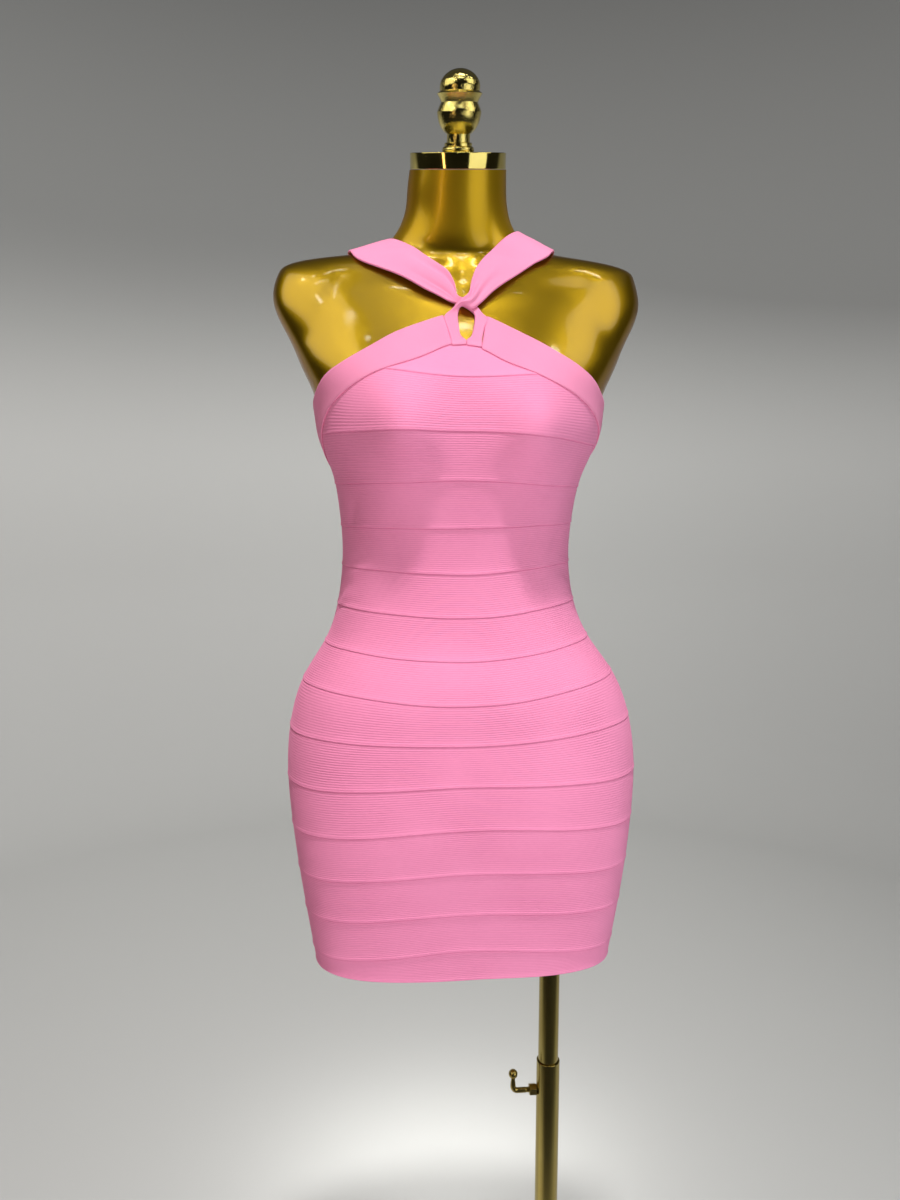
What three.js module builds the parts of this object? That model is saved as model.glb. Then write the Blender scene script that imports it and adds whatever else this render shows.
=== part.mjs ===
// Bandage-knit bodycon dress with a twisted halter, on a limbless dress form and its telescopic stand.
// Millimetres. +Z is up, the front faces -Y, +X is the viewer's right. The origin is on the floor,
// at the middle of the underside of the round base.
import * as THREE from "three";
import { mergeVertices } from "three/addons/utils/BufferGeometryUtils.js";

// Heights
const HEM_FRONT = 749;
const HEM_SIDE = 744;
const FORM_UNDERSIDE = 797;
const NECK_TOP = 1533;
const LEAN_HEADING = 5; // degrees from straight ahead towards -X, the way the neck leans

// Cloth
const CLEARANCE = 0.8; // from the form to the inside of the cloth
const CHEST_CLEARANCE = 1.5; // the same over the rounder chest and bust
const PANEL = 1.6; // thickness of the knit
const BAND = 2.2; // thickness of the doubled neckline band
const RIDGE = 1.1; // how far the lower edge of a knit band stands out
const RIDGE_LEAD = 8; // height over which it swells
const SEAM_GAP = 0.3;
const COLUMNS = 22; // facets across a front or a back

// Stand
const POLE_X = 100; // the pole stands off the middle of the form
const UPPER_TUBE = 22; // outside diameters
const LOWER_TUBE = 25.4;
const LOWER_BORE = 22.8;
const UPPER_BORE = 19;
const LOWER_TUBE_TOP = 602;
const TUBE_OVERLAP = 250; // length of the upper tube inside the lower one
const BASE_RADIUS = 160;
const BASE_THICK = 8;
const REST_GAP = 0.3;

// Neck
const CAP_RADIUS = 46;
const CAP_THICK = 14;

// The form's surface: a row for each level, from the hem line to the top of the neck. Each is a
// rounded section of given half-width, depth forward and depth back, shifted by x and y, tipped
// forward by lean, and squared off as the power grows above 2.
const SECTIONS = [
  { level: 738, width: 151.0, front: 76, back: 79, power: 3.0, x: 4.0, y: 0, lean: 0 },
  { level: 835, width: 166.0, front: 92, back: 93, power: 2.8, x: 4.0, y: 0, lean: 0 },
  { level: 900, width: 173.4, front: 101, back: 107, power: 2.6, x: 3.5, y: 0, lean: 0 },
  { level: 950, width: 176.0, front: 105, back: 113, power: 2.45, x: 3.0, y: 0, lean: 0 },
  { level: 1000, width: 170.5, front: 102, back: 105, power: 2.35, x: 2.0, y: 0, lean: 0 },
  { level: 1045, width: 153.5, front: 95, back: 91, power: 2.25, x: 0.5, y: 0, lean: 0 },
  { level: 1076, width: 133.0, front: 88, back: 82, power: 2.2, x: -1.0, y: 0, lean: 0 },
  { level: 1122, width: 116.0, front: 80, back: 75, power: 2.15, x: -3.0, y: 0, lean: 0 },
  { level: 1183, width: 111.8, front: 82, back: 76, power: 2.15, x: -3.0, y: 0, lean: 0 },
  { level: 1213, width: 115.0, front: 87, back: 80, power: 2.15, x: -2.5, y: 0, lean: 0 },
  { level: 1242, width: 121.0, front: 92, back: 84, power: 2.15, x: -1.5, y: 0, lean: 0 },
  { level: 1280, width: 135.0, front: 95, back: 89, power: 2.2, x: 0.0, y: 0, lean: 0 },
  { level: 1316, width: 141.0, front: 90, back: 91, power: 2.3, x: 0.0, y: 2, lean: 0 },
  { level: 1345, width: 156.0, front: 80, back: 85, power: 2.4, x: 0.5, y: 6, lean: 0 },
  { level: 1370, width: 167.5, front: 70, back: 75, power: 2.4, x: 1.0, y: 10, lean: 0 },
  { level: 1410, width: 180.5, front: 58, back: 60, power: 2.35, x: 2.0, y: 16, lean: 0 },
  { level: 1437, width: 176.0, front: 51, back: 51, power: 2.25, x: 2.5, y: 20, lean: 0 },
  { level: 1450, width: 152.0, front: 47, back: 46, power: 2.1, x: 2.5, y: 22, lean: 3 },
  { level: 1458, width: 102.0, front: 46, back: 46, power: 2.0, x: 1.5, y: 22, lean: 7 },
  { level: 1472, width: 67.0, front: 48, back: 50, power: 2.0, x: -0.8, y: 21, lean: 12 },
  { level: 1496, width: 52.2, front: 47, back: 48, power: 2.0, x: -1.5, y: 14, lean: 16 },
  { level: 1518, width: 47.8, front: 46, back: 46, power: 2.0, x: -1.8, y: 7, lean: 18.5 },
  { level: NECK_TOP, width: 46.4, front: 45.5, back: 45.5, power: 2.0, x: -1.2, y: 2, lean: 19 },
];

// The soft swell of the bust on a general figure, bridged by the stretched cloth
const BUST = { depth: 15, x: 66, level: 1284, spread: 50, above: 46, below: 42 };

// The seams between the knit bands, numbered from the top: their levels at the middle of the
// front, at the sides and at the middle of the back
const BAND_SEAMS = [
  { name: "bust", front: 1279, side: 1280, back: 1280 },
  { name: "under_bust", front: 1237, side: 1236, back: 1236 },
  { name: "ribs", front: 1193, side: 1193, back: 1193 },
  { name: "above_waist", front: 1149, side: 1152, back: 1151 },
  { name: "waist", front: 1108, side: 1114, back: 1112 },
  { name: "below_waist", front: 1069, side: 1077, back: 1074 },
  { name: "upper_hip", front: 1030, side: 1041, back: 1037 },
  { name: "high_hip", front: 993, side: 998, back: 997 },
  { name: "hip", front: 954, side: 947, back: 950 },
  { name: "low_hip", front: 912, side: 901, back: 905 },
  { name: "upper_thigh", front: 867, side: 858, back: 861 },
  { name: "thigh", front: 823, side: 815, back: 818 },
  { name: "above_hem", front: 781, side: 771, back: 774 },
  { name: "hem", front: HEM_FRONT, side: HEM_SIDE, back: 747 },
];

// A short seam crosses the chest above the bust seam and runs out into the neckline band.
const CHEST_SEAM = 1327;

// The neckline band's two edges, by the angle round the body from the middle of the front
const NECKLINE = [
  { angle: 0, lower: 1357.5, upper: 1394 },
  { angle: 6, lower: 1354.5, upper: 1387.5 },
  { angle: 18, lower: 1342, upper: 1371.5 },
  { angle: 30, lower: 1331.5, upper: 1357.5 },
  { angle: 45, lower: 1317, upper: 1341.5 },
  { angle: 60, lower: 1302, upper: 1327 },
  { angle: 75, lower: 1284.5, upper: 1316.5 },
  { angle: 88, lower: 1268, upper: 1306.5 },
  { angle: 105, lower: 1248.5, upper: 1287 },
  { angle: 125, lower: 1231, upper: 1265 },
  { angle: 150, lower: 1219, upper: 1249.5 },
  { angle: 180, lower: 1215, upper: 1244 },
];

// Where the band's front end is sewn to the foot of a strap, beside the keyhole
const LOOP_SEAM = { footX: 14, footLevel: 1357.5, headX: 20.5, headLevel: 1387.5 };

// The strap that crosses in front: it starts at the left of the keyhole, goes over the viewer's
// right shoulder and ends behind the neck. near is its edge on the neck's side and far the other
// one; lift is its height off the form, stand what its far edge adds, and thick its own thickness.
const FRONT_STRAP = [
  { at: "foot", near: [-13.8, -70, 1356.7], far: [-0.3, -70, 1359.2], lift: 1.5, stand: 0, thick: 2.2 },
  { at: "keyhole foot", near: [-15.5, -66, 1366], far: [-0.6, -67, 1365], lift: 1.5, stand: 0, thick: 2.3 },
  { at: "keyhole low", near: [-17.2, -63, 1374], far: [-6, -64, 1372], lift: 1.6, stand: 0, thick: 2.6 },
  { at: "keyhole side", near: [-19, -58, 1382.5], far: [-8.4, -59, 1381], lift: 2.2, stand: 0, thick: 3 },
  { at: "keyhole top", near: [-16.5, -55, 1391], far: [-6.5, -55, 1389.5], lift: 5.2, stand: 0, thick: 3.6 },
  { at: "below crossing", near: [-8, -53, 1398.5], far: [0.5, -53, 1393.5], lift: 7.2, stand: 0, thick: 4 },
  { at: "crossing", near: [-1.5, -51, 1404], far: [8, -52, 1397], lift: 7.6, stand: 0, thick: 4 },
  { at: "above crossing", near: [2.5, -49, 1409], far: [15, -51, 1400.5], lift: 6.4, stand: 0, thick: 3.8 },
  { at: "gathers", near: [5, -46, 1416], far: [26, -47, 1408], lift: 2.8, stand: 1, thick: 3.4 },
  { at: "collarbone", near: [9.5, -41, 1427.5], far: [41, -44, 1418], lift: 1.4, stand: 2.5, thick: 2.8 },
  { at: "neck side", near: [21, -33, 1446], far: [60, -37, 1434], lift: 1.3, stand: 4, thick: 2.5 },
  { at: "shoulder front", near: [40, -22, 1465], far: [79, -22, 1449], lift: 1.3, stand: 5, thick: 2.4 },
  { at: "shoulder top", near: [59, 0, 1477], far: [93, 2, 1457], lift: 1.3, stand: 5, thick: 2.4 },
  { at: "shoulder back", near: [62, 30, 1472], far: [98, 40, 1452], lift: 2.2, stand: 5, thick: 2.4 },
  { at: "back of shoulder", near: [54, 54, 1463], far: [82, 66, 1433], lift: 2.2, stand: 3, thick: 2.4 },
  { at: "nape side", near: [30, 68, 1463], far: [44, 74, 1420], lift: 1.3, stand: 1, thick: 2.4 },
  { at: "nape", near: [0.2, 73, 1463], far: [0.2, 78, 1415], lift: 1.3, stand: 0, thick: 2.4 },
];

// The strap that crosses behind, from the right of the keyhole over the viewer's left shoulder
const REAR_STRAP = [
  { at: "foot", near: [13.8, -70, 1356.7], far: [0.3, -70, 1359.2], lift: 1.5, stand: 0, thick: 2.2 },
  { at: "keyhole foot", near: [15.5, -66, 1366], far: [0.6, -67, 1365], lift: 1.5, stand: 0, thick: 2.3 },
  { at: "keyhole low", near: [17.2, -63, 1374], far: [6, -64, 1372], lift: 1.6, stand: 0, thick: 2.6 },
  { at: "keyhole side", near: [19, -58, 1382.5], far: [8.4, -59, 1381], lift: 1.6, stand: 0, thick: 3 },
  { at: "keyhole top", near: [16.5, -55, 1391], far: [6.5, -55, 1388.5], lift: 1.2, stand: 0, thick: 3.4 },
  { at: "below crossing", near: [8, -53, 1398.5], far: [-0.5, -53, 1393], lift: 1.2, stand: 0, thick: 4 },
  { at: "crossing", near: [0, -51, 1403.5], far: [-9, -52, 1396.5], lift: 1.2, stand: 0, thick: 4 },
  { at: "above crossing", near: [-5.5, -49, 1409], far: [-18, -51, 1400.5], lift: 1.2, stand: 0, thick: 3.8 },
  { at: "gathers", near: [-9, -46, 1416.5], far: [-30, -48, 1406.5], lift: 1.3, stand: 1, thick: 3.4 },
  { at: "collarbone", near: [-11.5, -41, 1427.5], far: [-52, -43, 1417.5], lift: 1.4, stand: 2.5, thick: 2.8 },
  { at: "neck side", near: [-22, -33, 1440], far: [-73, -35, 1432.5], lift: 1.3, stand: 4, thick: 2.5 },
  { at: "shoulder front", near: [-45, -20, 1457], far: [-95, -24, 1444], lift: 1.3, stand: 5, thick: 2.4 },
  { at: "shoulder top", near: [-66, 0, 1470], far: [-105, 2, 1454], lift: 1.3, stand: 5, thick: 2.4 },
  { at: "shoulder back", near: [-66, 30, 1467], far: [-107, 40, 1450], lift: 2.2, stand: 5, thick: 2.4 },
  { at: "back of shoulder", near: [-54, 54, 1463], far: [-82, 66, 1433], lift: 2.2, stand: 3, thick: 2.4 },
  { at: "nape side", near: [-30, 68, 1463], far: [-44, 74, 1420], lift: 1.3, stand: 1, thick: 2.4 },
  { at: "nape", near: [-0.2, 73, 1463], far: [-0.2, 78, 1415], lift: 1.3, stand: 0, thick: 2.4 },
];
const STRAP_STEPS = 3; // sections from one row of a strap's table to the next
const STRAP_CELLS = 5; // facets across a strap

const cloth = new THREE.MeshStandardMaterial({ color: 0xf49cc4, roughness: 0.8, metalness: 0 });
const gold = new THREE.MeshStandardMaterial({ color: 0xb98f2e, roughness: 0.3, metalness: 0.8 });
const brass = new THREE.MeshStandardMaterial({ color: 0xd9a93a, roughness: 0.12, metalness: 1 });
const poleBrass = new THREE.MeshStandardMaterial({ color: 0x8c7430, roughness: 0.3, metalness: 1 });

const lerp = THREE.MathUtils.lerp;
const rad = THREE.MathUtils.degToRad;

// A natural cubic spline through one column of a table
function splineOf(rows, across, column) {
  const x = rows.map((row) => row[across]);
  const y = rows.map((row) => row[column]);
  const last = x.length - 1;
  const bend = new Array(last + 1).fill(0);
  const lower = new Array(last + 1).fill(0);
  for (let i = 1; i < last; i++) {
    const before = x[i] - x[i - 1];
    const after = x[i + 1] - x[i];
    const pivot = 2 * (before + after) + before * lower[i - 1];
    lower[i] = -after / pivot;
    const slopes = (y[i + 1] - y[i]) / after - (y[i] - y[i - 1]) / before;
    bend[i] = (6 * slopes - before * bend[i - 1]) / pivot;
  }
  for (let i = last - 1; i > 0; i--) bend[i] += lower[i] * bend[i + 1];
  return (at) => {
    let i = 0;
    while (i < last - 1 && at > x[i + 1]) i++;
    const span = x[i + 1] - x[i];
    const a = (x[i + 1] - at) / span;
    const b = (at - x[i]) / span;
    const curve = (a ** 3 - a) * bend[i] + (b ** 3 - b) * bend[i + 1];
    return a * y[i] + b * y[i + 1] + (curve * span * span) / 6;
  };
}

const section = {};
for (const column of ["width", "front", "back", "power", "x", "y", "lean"])
  section[column] = splineOf(SECTIONS, "level", column);

const bell = (distance, spread) => Math.exp(-((distance / spread) ** 2));

function bustSwell(x, level, facing) {
  const height = level > BUST.level ? BUST.above : BUST.below;
  const sides = bell(x - BUST.x, BUST.spread) + bell(x + BUST.x, BUST.spread);
  const frontOnly = Math.min(1, 1.6 * Math.sqrt(Math.max(0, facing)));
  return BUST.depth * sides * bell(level - BUST.level, height) * frontOnly;
}

// A point on the form: angle 0 is the middle of the front, 90 the viewer's right, 180 the back.
function formPoint(angle, level) {
  const across = Math.sin(rad(angle));
  const facing = Math.cos(rad(angle));
  const power = section.power(level);
  const reach = (Math.abs(across) ** power + Math.abs(facing) ** power) ** (-1 / power);
  const x = section.width(level) * across * reach;
  const depth = facing > 0 ? section.front(level) : section.back(level);
  const y = -depth * facing * reach - bustSwell(x, level, facing);
  const lean = rad(section.lean(level));
  const heading = rad(LEAN_HEADING);
  const behind = x * Math.sin(heading) + y * Math.cos(heading);
  const shortened = behind * (1 - Math.cos(lean));
  return new THREE.Vector3(
    section.x(level) + x - shortened * Math.sin(heading),
    section.y(level) + y - shortened * Math.cos(heading),
    level + behind * Math.sin(lean),
  );
}

function formNormal(angle, level) {
  const round = formPoint(angle + 0.5, level).sub(formPoint(angle - 0.5, level));
  const up = formPoint(angle, level + 0.5).sub(formPoint(angle, level - 0.5));
  return round.cross(up).normalize();
}

const offForm = (angle, level, out) =>
  formPoint(angle, level).addScaledVector(formNormal(angle, level), out);

// The angle that spans a length on the form at a given place
function angleFor(length, angle, level) {
  const perDegree = formPoint(angle + 0.5, level).distanceTo(formPoint(angle - 0.5, level));
  return length / perDegree;
}

// The place on the form nearest to a point, by repeated small corrections from a first guess
function nearestOnForm(point, guess) {
  let { angle, level } = guess;
  const most = { angle: 6, level: 8 }; // of one correction
  for (let i = 0; i < 40; i++) {
    const error = point.clone().sub(formPoint(angle, level));
    const round = formPoint(angle + 0.25, level).sub(formPoint(angle - 0.25, level)).multiplyScalar(2);
    const up = formPoint(angle, level + 0.25).sub(formPoint(angle, level - 0.25)).multiplyScalar(2);
    const aa = round.dot(round);
    const ab = round.dot(up);
    const bb = up.dot(up);
    const area = aa * bb - ab * ab;
    const turn = (error.dot(round) * bb - error.dot(up) * ab) / area;
    const rise = (error.dot(up) * aa - error.dot(round) * ab) / area;
    angle += THREE.MathUtils.clamp(turn, -most.angle, most.angle);
    level += THREE.MathUtils.clamp(rise, -most.level, most.level);
  }
  return { angle, level };
}

const bandEdge = {
  lower: splineOf(NECKLINE, "angle", "lower"),
  upper: splineOf(NECKLINE, "angle", "upper"),
};

function seamLevel(seam, angle) {
  const facing = Math.cos(rad(angle));
  const middle = facing > 0 ? seam.front : seam.back;
  return lerp(seam.side, middle, facing ** 4);
}

const clearance = (level) =>
  lerp(CLEARANCE, CHEST_CLEARANCE, THREE.MathUtils.smoothstep(level, 1262, 1290));

// A closed geometry from positions and triangles, turned so that its faces point out
function closedBody(points, triangles) {
  const position = new Float32Array(points.flatMap((p) => [p.x, p.y, p.z]));
  const volume = triangles.reduce((sum, [a, b, c]) => {
    const [p, q, r] = [points[a], points[b], points[c]];
    return sum + p.dot(new THREE.Vector3().crossVectors(q, r));
  }, 0);
  const facing = volume < 0 ? triangles.map(([a, b, c]) => [a, c, b]) : triangles;
  const geometry = new THREE.BufferGeometry();
  geometry.setAttribute("position", new THREE.BufferAttribute(position, 3));
  geometry.setIndex(facing.flat());
  geometry.computeVertexNormals();
  return geometry;
}

// Triangles between two lines of vertices that run side by side, whatever their numbers
function bridge(lineA, lineB) {
  const triangles = [];
  let a = 0;
  let b = 0;
  while (a < lineA.length - 1 || b < lineB.length - 1) {
    const nextA = (a + 1) / (lineA.length - 1);
    const nextB = (b + 1) / (lineB.length - 1);
    if (b === lineB.length - 1 || (a < lineA.length - 1 && nextA <= nextB)) {
      triangles.push([lineA[a], lineA[a + 1], lineB[b]]);
      a++;
    } else {
      triangles.push([lineA[a], lineB[b + 1], lineB[b]]);
      b++;
    }
  }
  return triangles;
}

function gridTriangles(rows, flipped) {
  const triangles = [];
  for (let r = 0; r + 1 < rows.length; r++)
    for (let c = 0; c + 1 < rows[r].length; c++) {
      const [p, q] = [rows[r][c], rows[r][c + 1]];
      const [s, t] = [rows[r + 1][c], rows[r + 1][c + 1]];
      triangles.push(...(flipped ? [[p, t, q], [p, s, t]] : [[p, q, t], [p, t, s]]));
    }
  return triangles;
}

// A closed wall from rows of outer points and rows of inner points, with as many points in each
// row. The two sides may have different numbers of rows.
function wall(outer, inner) {
  const points = [...outer.flat(), ...inner.flat()];
  const width = outer[0].length;
  const numbered = (rows, first) =>
    rows.map((row, r) => row.map((_, c) => first + r * width + c));
  const out = numbered(outer, 0);
  const back = numbered(inner, outer.length * width);
  const side = (rows, c) => rows.map((row) => row[c]);
  return closedBody(points, [
    ...gridTriangles(out, false),
    ...gridTriangles(back, true),
    ...gridTriangles([back[0], out[0]], false),
    ...gridTriangles([out.at(-1), back.at(-1)], false),
    ...bridge(side(out, 0), side(back, 0)),
    ...bridge(side(out, width - 1), side(back, width - 1)).map(([a, b, c]) => [a, c, b]),
  ]);
}

// Levels of the rows of a panel at one angle, from the hem up. Each seam's lower band ends in a
// flat row, and its upper band swells towards the seam and stops in a proud edge.
function panelRows(angle) {
  const rows = [];
  const seams = [...BAND_SEAMS].reverse();
  for (const seam of seams) {
    const level = seamLevel(seam, angle);
    if (seam.name !== "hem") rows.push({ level: level - 0.8, ridge: 0 });
    rows.push({ level: level + 0.6, ridge: RIDGE });
    rows.push({ level: level + RIDGE_LEAD, ridge: 0.25 * RIDGE });
  }
  return rows;
}

const fromFront = (angle) => Math.abs(angle > 180 ? angle - 360 : angle);
const panelTop = (angle) => bandEdge.lower(fromFront(angle)) - SEAM_GAP;

// Above the bust seam the front's rows fan out up to the neckline band. The chest seam's edge
// fades where it would run out of the panel.
function chestRows(angle) {
  const first = seamLevel(BAND_SEAMS[0], angle) + RIDGE_LEAD;
  const top = panelTop(angle);
  const room = 7; // left above the chest seam
  const seam = Math.min(CHEST_SEAM, top - room, lerp(first, top, 0.72));
  const fade = THREE.MathUtils.smoothstep(top - CHEST_SEAM, 0, room);
  return [
    { level: lerp(first, seam, 0.5), ridge: 0 },
    { level: seam - 0.8, ridge: 0 },
    { level: seam + 0.6, ridge: RIDGE * fade },
    { level: lerp(seam, top, 0.5), ridge: 0.2 * RIDGE * fade },
    { level: top, ridge: 0 },
  ];
}

// On the back and the sides the band cuts across the upper seams, and a row that would rise
// past the one above it is pressed down under it, and loses its ridge.
const LEAST_ROW = 0.6;
function cappedRows(rows) {
  const capped = [...rows];
  for (let i = rows.length - 2; i >= 0; i--) {
    const most = capped[i + 1].level - LEAST_ROW;
    if (rows[i].level > most) capped[i] = { level: most, ridge: 0 };
  }
  return capped;
}

function frontRows(angle) {
  return cappedRows([...panelRows(angle), ...chestRows(angle)]);
}

// The back ends under its low neckline, so it has no bust seam.
function backRows(angle) {
  const top = panelTop(angle);
  const rows = panelRows(angle).filter((_, i, all) => i < all.length - 3);
  return cappedRows([...rows, { level: top, ridge: 0 }]);
}

// The inside keeps one row for each seam.
const insideRows = (rows, count) =>
  rows.filter((_, i) => i === rows.length - 1 || i % 3 === 0 || i > count);

function panelAngles(from, to) {
  const edge = (angle, side) => angle + side * angleFor(SEAM_GAP / 2, angle, 1000);
  return Array.from({ length: COLUMNS + 1 }, (_, i) => {
    if (i === 0) return edge(from, 1);
    if (i === COLUMNS) return edge(to, -1);
    return lerp(from, to, i / COLUMNS);
  });
}

function panel(angles, rowsAt, finestAbove) {
  const table = angles.map((angle) => rowsAt(angle));
  const outer = table[0].map((_, r) =>
    angles.map((angle, c) => {
      const { level, ridge } = table[c][r];
      return offForm(angle, level, clearance(level) + PANEL + ridge);
    }),
  );
  const kept = insideRows(table[0].map((_, r) => r), finestAbove);
  const inner = kept.map((r) =>
    angles.map((angle, c) => {
      const { level } = table[c][r];
      return offForm(angle, level, clearance(level));
    }),
  );
  return wall(outer, inner);
}

// A neckline band, from the foot of a strap round under the arm to the middle of the back
const BAND_CELLS = COLUMNS;
const BAND_ROWS = [
  { up: 0, proud: 0.6 },
  { up: 0.08, proud: 1.0 },
  { up: 0.5, proud: 0.7 },
  { up: 0.93, proud: 0.8 },
  { up: 1, proud: 0.3 },
];

function necklineBand(side) {
  const guess = { angle: side * 5, level: 1370 };
  const foot = new THREE.Vector3(side * LOOP_SEAM.footX, -70, LOOP_SEAM.footLevel);
  const head = new THREE.Vector3(side * LOOP_SEAM.headX, -55, LOOP_SEAM.headLevel);
  const footAngle = Math.abs(nearestOnForm(foot, guess).angle);
  const headAngle = Math.abs(nearestOnForm(head, guess).angle);
  const start = (up) => lerp(footAngle, headAngle, up) + angleFor(1.5 * SEAM_GAP, 5, 1370);
  const end = 180 - angleFor(SEAM_GAP / 2, 180, 1230);
  const place = (up, cell, proud) => {
    const onPanel = Math.min(cell * (180 / COLUMNS), end);
    const angle = cell === 0 ? start(up) : Math.max(onPanel, start(up) + 1.5);
    const level = lerp(bandEdge.lower(angle), bandEdge.upper(angle), up);
    return offForm(side * angle, level, CHEST_CLEARANCE + proud);
  };
  const cells = Array.from({ length: BAND_CELLS + 1 }, (_, i) => i);
  const outer = BAND_ROWS.map(({ up, proud }) => cells.map((cell) => place(up, cell, BAND + proud - 0.6)));
  const inner = [0, 0.5, 1].map((up) => cells.map((cell) => place(up, cell, 0)));
  return wall(outer, inner);
}

// A strap lies on the form between its two edges, and is drawn through the rows of its table.
function strap(rows) {
  const curveOf = (edge) =>
    new THREE.CatmullRomCurve3(rows.map((row) => new THREE.Vector3(...row[edge])), false, "centripetal");
  const near = curveOf("near");
  const far = curveOf("far");
  const last = rows.length - 1;
  const sections = last * STRAP_STEPS;
  const side = Math.sign(rows[0].near[0]);
  let guess = { angle: side * 3, level: 1358 };
  const under = [];
  const over = [];
  for (let s = 0; s <= sections; s++) {
    const at = s / STRAP_STEPS;
    const i = Math.min(Math.floor(at), last - 1);
    const part = at - i;
    const value = (column) => lerp(rows[i][column], rows[i + 1][column], part);
    const from = near.getPoint(s / sections);
    const to = far.getPoint(s / sections);
    const lows = [];
    const highs = [];
    for (let c = 0; c <= STRAP_CELLS; c++) {
      const across = c / STRAP_CELLS;
      const place = nearestOnForm(from.clone().lerp(to, across), guess);
      if (c === 0) guess = place;
      const lift = value("lift") + value("stand") * across ** 2;
      const edge = c === 0 || c === STRAP_CELLS ? 0.6 : 1; // the edges are a little thinner
      lows.push(offForm(place.angle, place.level, lift));
      highs.push(offForm(place.angle, place.level, lift + value("thick") * edge));
    }
    under.push(lows);
    over.push(highs);
  }
  return wall(over, under);
}

// The torso of the form, closed by a flat underside and a flat top of the neck
function torso() {
  const angles = [];
  for (let i = 0; i < 2 * COLUMNS; i++) angles.push(lerp(-90, 270, i / (2 * COLUMNS)));
  const seamRows = [...BAND_SEAMS].reverse().filter((seam) => seam.side > FORM_UNDERSIDE + 10);
  const rings = [
    angles.map((angle) => offForm(angle, FORM_UNDERSIDE, -8)),
    angles.map((angle) => offForm(angle, FORM_UNDERSIDE + 4, 0)),
    ...seamRows.map((seam) => angles.map((angle) => formPoint(angle, seamLevel(seam, angle) + 0.6))),
  ];
  rings[0].forEach((point) => point.setZ(FORM_UNDERSIDE));
  const chest = [1292, 1303, 1316, 1330, 1345, 1358, 1371, 1385, 1400, 1413];
  const shoulders = [1424, 1432, 1438, 1443, 1447, 1450.5, 1453.5, 1456, 1459];
  const neck = [1463, 1468, 1475, 1484, 1496, 1508, 1520, NECK_TOP];
  for (const level of [...chest, ...shoulders, ...neck])
    rings.push(angles.map((angle) => formPoint(angle, level)));
  const count = angles.length;
  const points = rings.flat();
  const triangles = [];
  for (let r = 0; r + 1 < rings.length; r++)
    for (let i = 0; i < count; i++) {
      const j = (i + 1) % count;
      const [p, q, s, t] = [r * count + i, r * count + j, (r + 1) * count + i, (r + 1) * count + j];
      triangles.push([p, q, t], [p, t, s]);
    }
  for (const [first, turned] of [[0, true], [(rings.length - 1) * count, false]]) {
    const middle = new THREE.Vector3();
    for (let i = 0; i < count; i++) middle.addScaledVector(points[first + i], 1 / count);
    points.push(middle);
    for (let i = 0; i < count; i++) {
      const j = (i + 1) % count;
      const fan = [first + i, first + j, points.length - 1];
      triangles.push(turned ? [fan[1], fan[0], fan[2]] : fan);
    }
  }
  return closedBody(points, triangles);
}

// A turned piece from pairs of radius and height, standing along +Z
function turned(profile, sides) {
  const lathe = new THREE.LatheGeometry(profile.map(([r, z]) => new THREE.Vector2(r, z)), sides);
  lathe.deleteAttribute("normal");
  lathe.deleteAttribute("uv");
  return mergeVertices(lathe.rotateX(Math.PI / 2), 1e-4);
}

const neckCapProfile = [
  [0, 0],
  [CAP_RADIUS - 1, 0],
  [CAP_RADIUS, 1],
  [CAP_RADIUS, CAP_THICK - 1.5],
  [CAP_RADIUS - 1.5, CAP_THICK],
  [0, CAP_THICK],
];

// The turned knob: a stepped foot, a stem, two ridged balls and a dome
const finialProfile = [
  [0, 0],
  [14.2, 0],
  [14.2, 4.8],
  [12.8, 5.4],
  [12.8, 8.3],
  [10.4, 9],
  [10.4, 17.4],
  [11.4, 18.7],
  [15.2, 22.6],
  [18.4, 27.8],
  [20.2, 34.4],
  [18.6, 38.3],
  [16.3, 42.6],
  [18.6, 46.5],
  [20.6, 50.2],
  [18, 52.4],
  [18.2, 57.4],
  [15.4, 63.1],
  [10, 67.7],
  [4.5, 69.8],
  [0, 70.2],
];

// Both tubes and the plate that carries the form share the pole's axis.
function tube(outside, bore, bottom, top, sides) {
  return turned(
    [
      [bore / 2, bottom],
      [outside / 2, bottom],
      [outside / 2, top],
      [bore / 2, top],
      [bore / 2, bottom],
    ],
    sides,
  );
}

const PLATE = { radius: 38, thick: 5, collarRadius: 16, collar: 24 };
const plateTop = FORM_UNDERSIDE - REST_GAP;
const plateSocket = plateTop - PLATE.thick - REST_GAP;
const plateProfile = [
  [0, plateSocket + REST_GAP],
  [UPPER_TUBE / 2 + REST_GAP, plateSocket + REST_GAP],
  [UPPER_TUBE / 2 + REST_GAP, plateTop - PLATE.thick - PLATE.collar],
  [PLATE.collarRadius, plateTop - PLATE.thick - PLATE.collar],
  [PLATE.collarRadius, plateTop - PLATE.thick],
  [PLATE.radius, plateTop - PLATE.thick],
  [PLATE.radius, plateTop],
  [0, plateTop],
];

const SOCKET = { radius: 20, height: 30 };
const baseTop = BASE_THICK;
const tubeFoot = baseTop + REST_GAP;

// The clamp: a boss on the side of the lower tube, and a bent screw with a ball on its end
const CLAMP_LEVEL = LOWER_TUBE_TOP - 35;
const BOSS = { radius: 7.5, length: 8, bore: 3.3 };
const SCREW = { radius: 3, reach: 18, bend: 5, rise: 20, ball: 5, sides: 12 };
const bossFace = POLE_X - LOWER_TUBE / 2 - REST_GAP;

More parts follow.
